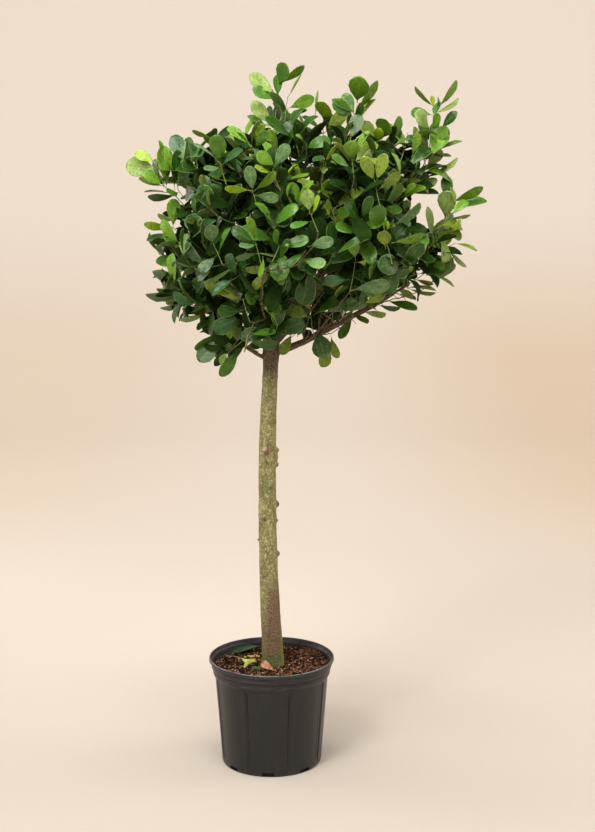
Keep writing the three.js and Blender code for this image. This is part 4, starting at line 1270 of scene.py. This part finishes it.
twig_bark = Finish("twig_bark", Roughness=0.9)
twig_tone = twig_bark.mix(twig_bark.grain(160, 3).rise(0.35, 0.7), (0.055, 0.035, 0.02), (0.18, 0.125, 0.075))
twig_bark.paint("Base Color", twig_tone)
twig_bark.emboss(twig_bark.grain(900, 2), 0.4, 0.4 * MM)
branchlets = shown("branchlets", tubes("branchlets", twig_lines), twig_bark)
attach(branchlets, "root")

shoot_lines = []
for shoot in shoots:
    count = len(shoot["line"]) - 1
    shoot_lines.append([(place, (1.15 - 0.5 * i / count) * MM) for i, place in enumerate(shoot["line"])])
green_bark = Finish("green_bark", Roughness=0.6)
green_tone = green_bark.mix(green_bark.grain(60, 2).rise(0.4, 0.6), (0.10, 0.15, 0.03), (0.19, 0.23, 0.06))
green_bark.paint("Base Color", green_tone)
stalks = shown("green_shoots", tubes("green_shoots", shoot_lines), green_bark)
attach(stalks, "root")

# ---- Leaves --------------------------------------------------------------------------------------
# Thick evergreen leaves, glossy above and dull and paler below, with a pale midrib and edge: narrow
# at the stalk, broadest past the middle and round at the end. They go round the shoot in a spiral.

COLUMNS = (-1, -0.94, -0.035, 0.035, 0.94, 1)
ROWS = (0, 0.12, 0.34, 0.57, 0.78, 0.93, 1)
OUTLINE = (0.05, 0.26, 0.72, 0.98, 0.93, 0.58, 0.20)
LEAF_THICK = 0.011
STALK = 0.13
TOP, UNDER, RIB, EDGE = 0, 1, 2, 3


def leaf_shape(width, fold, curl, twist, seed):
    """A leaf one unit long, along +Y with its upper side to +Z, with its stalk behind the origin."""
    bm = bmesh.new()
    bmesh.ops.create_grid(bm, x_segments=len(COLUMNS) - 1, y_segments=len(ROWS) - 1, size=1)
    for face in bm.faces:
        middle = face.calc_center_median().x
        face.material_index = RIB if abs(middle) < 0.2 else TOP if abs(middle) < 0.7 else EDGE
    for corner in bm.verts:
        s = COLUMNS[round((corner.co.x + 1) / 2 * (len(COLUMNS) - 1))]
        row = round((corner.co.y + 1) / 2 * (len(ROWS) - 1))
        t, half = ROWS[row], width / 2 * OUTLINE[row]
        wave = noise.noise(Vector((s * 1.2, t * 2.6, seed * 7))) * 0.05 * abs(s)
        bend = curl * t
        along = t if abs(curl) < 1e-3 else math.sin(bend) / curl
        drop = 0 if abs(curl) < 1e-3 else (1 - math.cos(bend)) / curl
        place = Vector((s * half * math.cos(fold), 0, abs(s) * half * math.sin(fold) + wave))
        place.z -= 0.006 if abs(s) == 1 else 0
        place.rotate(Matrix.Rotation(twist * t, 3, "Y"))
        place.rotate(Matrix.Rotation(-bend, 3, "X"))
        corner.co = place + Vector((0, along, -drop))
    copy = bmesh.ops.duplicate(bm, geom=bm.verts[:] + bm.edges[:] + bm.faces[:])
    under = [item for item in copy["geom"] if isinstance(item, bmesh.types.BMFace)]
    bmesh.ops.reverse_faces(bm, faces=under)
    for face in under:
        face.material_index = UNDER
    for corner in {corner for face in under for corner in face.verts if not corner.is_boundary}:
        corner.co.z -= LEAF_THICK
    bmesh.ops.remove_doubles(bm, verts=bm.verts, dist=1e-5)
    turn = Matrix.Translation((0, -STALK / 2, -LEAF_THICK / 2)) @ Matrix.Rotation(-math.pi / 2, 4, "X")
    size = {"radius1": 0.014, "radius2": 0.012, "depth": STALK + 0.04}
    stalk = bmesh.ops.create_cone(bm, segments=4, matrix=turn, **size)
    for face in {face for corner in stalk["verts"] for face in corner.link_faces}:
        face.material_index = RIB
    bmesh.ops.recalc_face_normals(bm, faces=bm.faces)
    return pressed(bm)


# Width, fold, droop of the tip and twist of each shape, in degrees after the width.
SHAPES = [
    (0.56, 10, 20, 0), (0.58, 16, 38, 8), (0.50, 24, 10, -6), (0.55, 6, 50, 4),
    (0.48, 30, 25, 10), (0.58, 12, -14, -8), (0.53, 18, 62, 6), (0.44, 38, 6, 0),
]
SHAPE_WIDTHS = [width for width, *_ in SHAPES]
leaf_shapes = [
    leaf_shape(width, *(math.radians(angle) for angle in angles), seed)
    for seed, (width, *angles) in enumerate(SHAPES)
]
YOUNG_SHAPES = (2, 4, 7)


def leaf_skin(name, colour, light, rough, gloss=1.38):
    """A leaf's skin, with cloudy patches of a lighter green."""
    skin = Finish(name, IOR=gloss)
    cloud, flecks = skin.grain(45, 3, 0.6), skin.grain(210, 4, 0.7)
    dark = tuple(channel * 0.62 for channel in colour)
    tone = skin.mix(cloud.rise(0.42, 0.7), colour, light)
    skin.paint("Base Color", skin.mix(flecks.rise(0.46, 0.62) * 0.8, tone, dark))
    skin.paint("Roughness", cloud * 0.16 + flecks * 0.1 + rough - 0.05)
    skin.emboss(skin.grain(120, 3, 0.6), 0.3, 2 * MM)
    return skin


leaf_finishes = [
    leaf_skin("leaf_deep", (0.018, 0.063, 0.005), (0.034, 0.106, 0.008), 0.24),
    leaf_skin("leaf_green", (0.048, 0.138, 0.008), (0.088, 0.22, 0.014), 0.26),
    leaf_skin("leaf_fresh", (0.105, 0.225, 0.010), (0.150, 0.300, 0.018), 0.30),
    # A bluer green that stands in for the sky's reflection on glossy leaves: a painted reflection.
    leaf_skin("leaf_blue_sheen", (0.022, 0.083, 0.020), (0.042, 0.145, 0.042), 0.22),
    leaf_skin("leaf_olive", (0.125, 0.190, 0.012), (0.20, 0.28, 0.024), 0.34),
    leaf_skin("leaf_lime", (0.22, 0.38, 0.006), (0.34, 0.52, 0.015), 0.34),
    # Near-black green for leaves deep in the head and for filler leaves: painted shade.
    leaf_skin("leaf_painted_shade", (0.010, 0.030, 0.003), (0.018, 0.048, 0.005), 0.6, 1.15),
    leaf_skin("leaf_pale", (0.22, 0.34, 0.075), (0.34, 0.47, 0.14), 0.42),
    # A pale grey-green that stands in for the sheen of glossy leaves: a painted highlight.
    leaf_skin("leaf_misty_sheen", (0.065, 0.140, 0.045), (0.12, 0.215, 0.08), 0.30),
    leaf_skin("under_dull", (0.075, 0.140, 0.025), (0.11, 0.19, 0.04), 0.52),
    leaf_skin("under_olive", (0.16, 0.23, 0.035), (0.22, 0.30, 0.06), 0.52),
    leaf_skin("under_lime", (0.27, 0.40, 0.03), (0.38, 0.52, 0.06), 0.52),
    # The underside, rib and edge of leaves in painted shade.
    leaf_skin("under_painted_shade", (0.016, 0.034, 0.005), (0.024, 0.046, 0.008), 0.7, 1.15),
    leaf_skin("rib_dark", (0.070, 0.14, 0.022), (0.10, 0.18, 0.04), 0.45),
    leaf_skin("rib_pale", (0.16, 0.27, 0.045), (0.22, 0.34, 0.07), 0.4),
    leaf_skin("rib_lime", (0.33, 0.46, 0.08), (0.38, 0.5, 0.1), 0.45),
]
# The seventh tone is painted shade.
DEEP, GREEN, FRESH, BLUE_SHEEN, OLIVE, LIME, PAINTED_SHADE, PALE, MISTY_SHEEN = range(9)
UNDERSIDES = {DEEP: 9, GREEN: 9, FRESH: 10, BLUE_SHEEN: 9, OLIVE: 10, LIME: 11, PAINTED_SHADE: 12, PALE: 10, MISTY_SHEEN: 9}
RIBS = {DEEP: 13, GREEN: 13, FRESH: 14, BLUE_SHEEN: 13, OLIVE: 14, LIME: 15, PAINTED_SHADE: 12, PALE: 14, MISTY_SHEEN: 14}
EDGES = {DEEP: 14, GREEN: 14, FRESH: 14, BLUE_SHEEN: 14, OLIVE: 14, LIME: 15, PAINTED_SHADE: 12, PALE: 14, MISTY_SHEEN: 14}
SPIRAL = math.radians(137.5)
LEAF_LENGTH, YOUNG_SHORTER, YOUNG_FROM = 0.069, 0.022, 0.78
LIMEY_SHARE, FRESH_SHARE, SHADED_SHARE = 0.15, 0.45, 0.4
OVERHANG, SHADOW_DEPTH = 4 * MM, 16 * MM
LETTERS = dict(zip("DGFBOLSPM", (DEEP, GREEN, FRESH, BLUE_SHEEN, OLIVE, LIME, PAINTED_SHADE, PALE, MISTY_SHEEN)))


def spray_tone(shoot):
    """The green of a spray. Deep shoots are all in painted shade. The others are darker below, as painted
    shade under the head, bluer to the left, as a painted sky reflection, lighter towards the top, partly
    as painted light from above, and olive and lighter to the right.
    """
    if shoot["deep"]:
        return PAINTED_SHADE
    tip = shoot["line"][-1]
    right = (tip.x - HEAD_MIDDLE.x) / 0.35
    high = (tip.z - HEAD_MIDDLE.z) / 0.28
    olive = 0.18 + 0.30 * right + 0.16 * high
    weights = (0.28 - 0.30 * high, 0.30, 0.15 + 0.20 * high, 0.2 - 0.2 * right, olive)
    weights = np.clip(weights, 0.02, None)
    return int(rng.choice(5, p=weights / weights.sum()))


def paints(tone):
    """The finishes of a leaf of one green: top, underside, rib and edge."""
    return [tone, UNDERSIDES[tone], RIBS[tone], EDGES[tone]]


def framed(start, way, face, wide, long):
    """The matrix that lays a leaf along a way with its upper side turned to face."""
    face = (face - way * face.dot(way)).normalized()
    turned_leaf = Matrix((way.cross(face), way, face)).transposed().to_4x4()
    return Matrix.Translation(start) @ turned_leaf @ Matrix.Diagonal((wide, long, long, 1))


def set_rows(shoot):
    """The leaves of a spray that stands out of the head."""
    rows = []
    for x0, z0, x1, z1, away, width, turn, letter in shoot["leaves"]:
        foot = Vector((x0, shoot["back"], z0)) * MM
        stem = min(shoot["line"], key=lambda point: (point - foot).length)
        foot = foot.lerp(stem, 0.5)
        reach = (Vector((x1, shoot["back"] + away, z1)) * MM - foot) * 1.05
        way, length = reach.normalized(), reach.length / (1 + STALK)
        face = Vector((0, -1, 0.4 if abs(turn) < 40 else 0.1))
        face = (face - way * face.dot(way)).normalized()
        face.rotate(Matrix.Rotation(math.radians(turn), 3, way))
        kind = int(rng.choice((0, 5) if abs(turn) < 40 else (0, 2, 5)))
        wide = width * 1.06 * MM / SHAPE_WIDTHS[kind]
        matrix = framed(foot + way * STALK * length, way, face, wide, length)
        rows.append((kind, matrix, paints(LETTERS[letter])))
    return rows


def leaf_rows(shoot):
    """The leaves of one shoot, ready to stamp."""
    line = shoot["line"]
    if shoot["back"] is not None:
        return set_rows(shoot)
    tone = spray_tone(shoot)
    limey = line[-1].z > 1.06 and rng.random() < LIMEY_SHARE
    turn = rng.uniform(0, 2 * math.pi)
    rows = []
    for k in range(shoot["leaves"]):
        share = (k + 0.6) / shoot["leaves"]
        at = share ** 0.85 * (len(line) - 1)
        i = min(int(at), len(line) - 2)
        place = line[i].lerp(line[i + 1], at - i)
        axis = (line[i + 1] - line[i]).normalized()
        side = axis.cross(Vector((math.cos(turn), math.sin(turn), 0.3))).normalized()
        side.rotate(Matrix.Rotation(k * SPIRAL + rng.normal(0, 0.25), 3, axis))
        spread = math.radians(74 - 50 * share + rng.normal(0, 8))
        way = axis * math.cos(spread) + side * math.sin(spread)
        way = (way - UP * 0.16 * (1 - share)).normalized()
        light = (UP * 0.8 + (place - HEAD_MIDDLE).normalized() * 0.5).normalized()
        face = axis + light * 0.3 + Vector(rng.normal(0, 0.15, 3))
        young = share > YOUNG_FROM
        length = (LEAF_LENGTH - YOUNG_SHORTER * max(0, share - 0.6) / 0.4) * rng.uniform(0.84, 1.12)
        matrix = framed(place + way * STALK * length, way, face, length, length)
        end = place + way * length * 1.1
        near, outward, _, distance = whole_head.find_nearest(end)
        if distance > OVERHANG and (end - near).dot(outward) > 0:
            continue
        if end.z + 0.17 * end.y < 0.925 and abs(end.x) < 0.062 and end.y < 0.08:
            continue
        kind = int(rng.choice(YOUNG_SHAPES)) if young else int(rng.integers(len(leaf_shapes)))
        own = tone
        if young and not shoot["deep"]:
            own = LIME if limey else FRESH if rng.random() < FRESH_SHARE else tone
        # Painted shade: leaves low in the middle of the head turn dark at random, and leaves deep in the head
        # by their depth, the dark green a little way in and painted shade farther in.
        if own in (DEEP, GREEN) and end.z < 1.02 and abs(end.x - 0.05) < 0.2 and rng.random() < SHADED_SHARE:
            own = PAINTED_SHADE
        if distance > SHADOW_DEPTH and (end - near).dot(outward) < 0:
            own = PAINTED_SHADE if distance > SHADOW_DEPTH * rng.uniform(1.2, 2.4) else DEEP
        if any(in_gap(place + way * length * along, 10 * MM) for along in (0.3, 0.65, 1)):
            continue
        rows.append((kind, matrix, paints(own)))
    return rows


LEAF_SEED = 3
rng = np.random.default_rng(LEAF_SEED)
for name in masses:
    rows = [row for shoot in shoots if shoot["mass"] == name for row in leaf_rows(shoot)]
    title = name.replace("foliage", "leaves")
    leaves = shown(title, stamped(title, leaf_shapes, rows), *leaf_finishes)
    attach(leaves, "root")
    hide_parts(name)

# ---- Fallen leaves -------------------------------------------------------------------------------
# What lies on the mix by the foot of the stem: a green leaf, a torn yellow one with its stalk, a dry
# brown one that leans on the bark, and a seedling weed.


def lying(kind, stalk_end, tip, face, paints, width=1):
    """A leaf laid from one place to another, with its upper side turned a given way."""
    stalk_end, tip, face = (Vector(spot) * MM for spot in (stalk_end, tip, face))
    length, way = (tip - stalk_end).length, (tip - stalk_end).normalized()
    face = (face - way * face.dot(way)).normalized()
    turn = Matrix((way.cross(face), way, face)).transposed().to_4x4()
    scale = Matrix.Diagonal((length * width, length, length, 1))
    return kind, Matrix.Translation(stalk_end) @ turn @ scale, paints


WEED_SPOT = Vector((-33, -42, 0))
litter_rows = [
    lying(0, (-20, 94, 227), (-104, 80, 223), (0.1, -0.1, 1), [0, 1, 1, 1], 0.6),
    lying(6, (6, -44, 217), (-29, -32, 235), (-0.3, -1, 0.5), [2, 3, 3, 3], 0.85),
]
for k in range(14):
    angle = rng.uniform(0, 2 * math.pi)
    foot = WEED_SPOT + Vector((rng.normal(0, 3), rng.normal(0, 3), 216))
    size = rng.uniform(4, 8) if k > 4 else rng.uniform(8, 13)
    tip = foot + Vector((math.cos(angle) * size * 0.8, math.sin(angle) * size * 0.6, size * 0.8))
    litter_rows.append(lying(int(rng.integers(4)), foot, tip, (0, -0.4, 1), [4, 5, 5, 5], 1.2))
litter_finishes = [
    leaf_skin("fallen_green", (0.012, 0.045, 0.016), (0.030, 0.085, 0.035), 0.35),
    leaf_skin("fallen_under", (0.06, 0.11, 0.045), (0.09, 0.15, 0.06), 0.5),
    leaf_skin("dry_brown", (0.42, 0.19, 0.115), (0.62, 0.34, 0.23), 0.7),
    leaf_skin("dry_edge", (0.30, 0.13, 0.08), (0.45, 0.22, 0.14), 0.7),
    leaf_skin("weed_green", (0.02, 0.055, 0.01), (0.07, 0.15, 0.02), 0.5),
    leaf_skin("weed_pale", (0.06, 0.13, 0.02), (0.12, 0.24, 0.04), 0.5),
]
litter = shown("fallen_leaves", stamped("fallen_leaves", leaf_shapes, litter_rows), *litter_finishes)
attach(litter, "root")

# The torn leaf: what is left of its blade, in four points round a sunken middle, and its thin dry stalk.
TORN_OUTLINE = [
    (-18, 11), (-4, 9), (13, 10), (17, 2), (9, 0), (1, -2), (-6, -9), (-15, -22), (-12, -10), (-9, 0),
]
torn_bm = bmesh.new()
torn_corners = [torn_bm.verts.new((x * MM, y * MM, 0)) for x, y in TORN_OUTLINE]
torn_face = torn_bm.faces.new(torn_corners)
bmesh.ops.inset_individual(torn_bm, faces=[torn_face], thickness=1.5 * MM, depth=-1.2 * MM)
bmesh.ops.triangulate(torn_bm, faces=torn_bm.faces)
bmesh.ops.recalc_face_normals(torn_bm, faces=torn_bm.faces)
bmesh.ops.solidify(torn_bm, geom=torn_bm.faces[:], thickness=0.5 * MM)
for corner in torn_bm.verts:
    corner.co.z += noise.noise(corner.co * 60) * 5 * MM
torn_turn = Matrix.Translation(Vector((-49, -6, 221)) * MM) @ Matrix.Rotation(math.radians(42), 4, "X")
bmesh.ops.transform(torn_bm, matrix=torn_turn, verts=torn_bm.verts)
torn_skin = leaf_skin("torn_yellow", (0.40, 0.44, 0.07), (0.62, 0.60, 0.18), 0.6)
torn = shown("torn_leaf", mesh_of("torn_leaf", torn_bm), torn_skin)
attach(torn, "root")
stalk_line = [(Vector(spot) * MM, 0.5 * MM) for spot in ((-100, 42, 220), (-82, 32, 223), (-65, 8, 227))]
dry_stalk = leaf_skin("dry_stalk", (0.34, 0.2, 0.15), (0.5, 0.33, 0.25), 0.7)
torn_stalk = shown("torn_stalk", tubes("torn_stalk", [stalk_line]), dry_stalk)
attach(torn_stalk, "root")
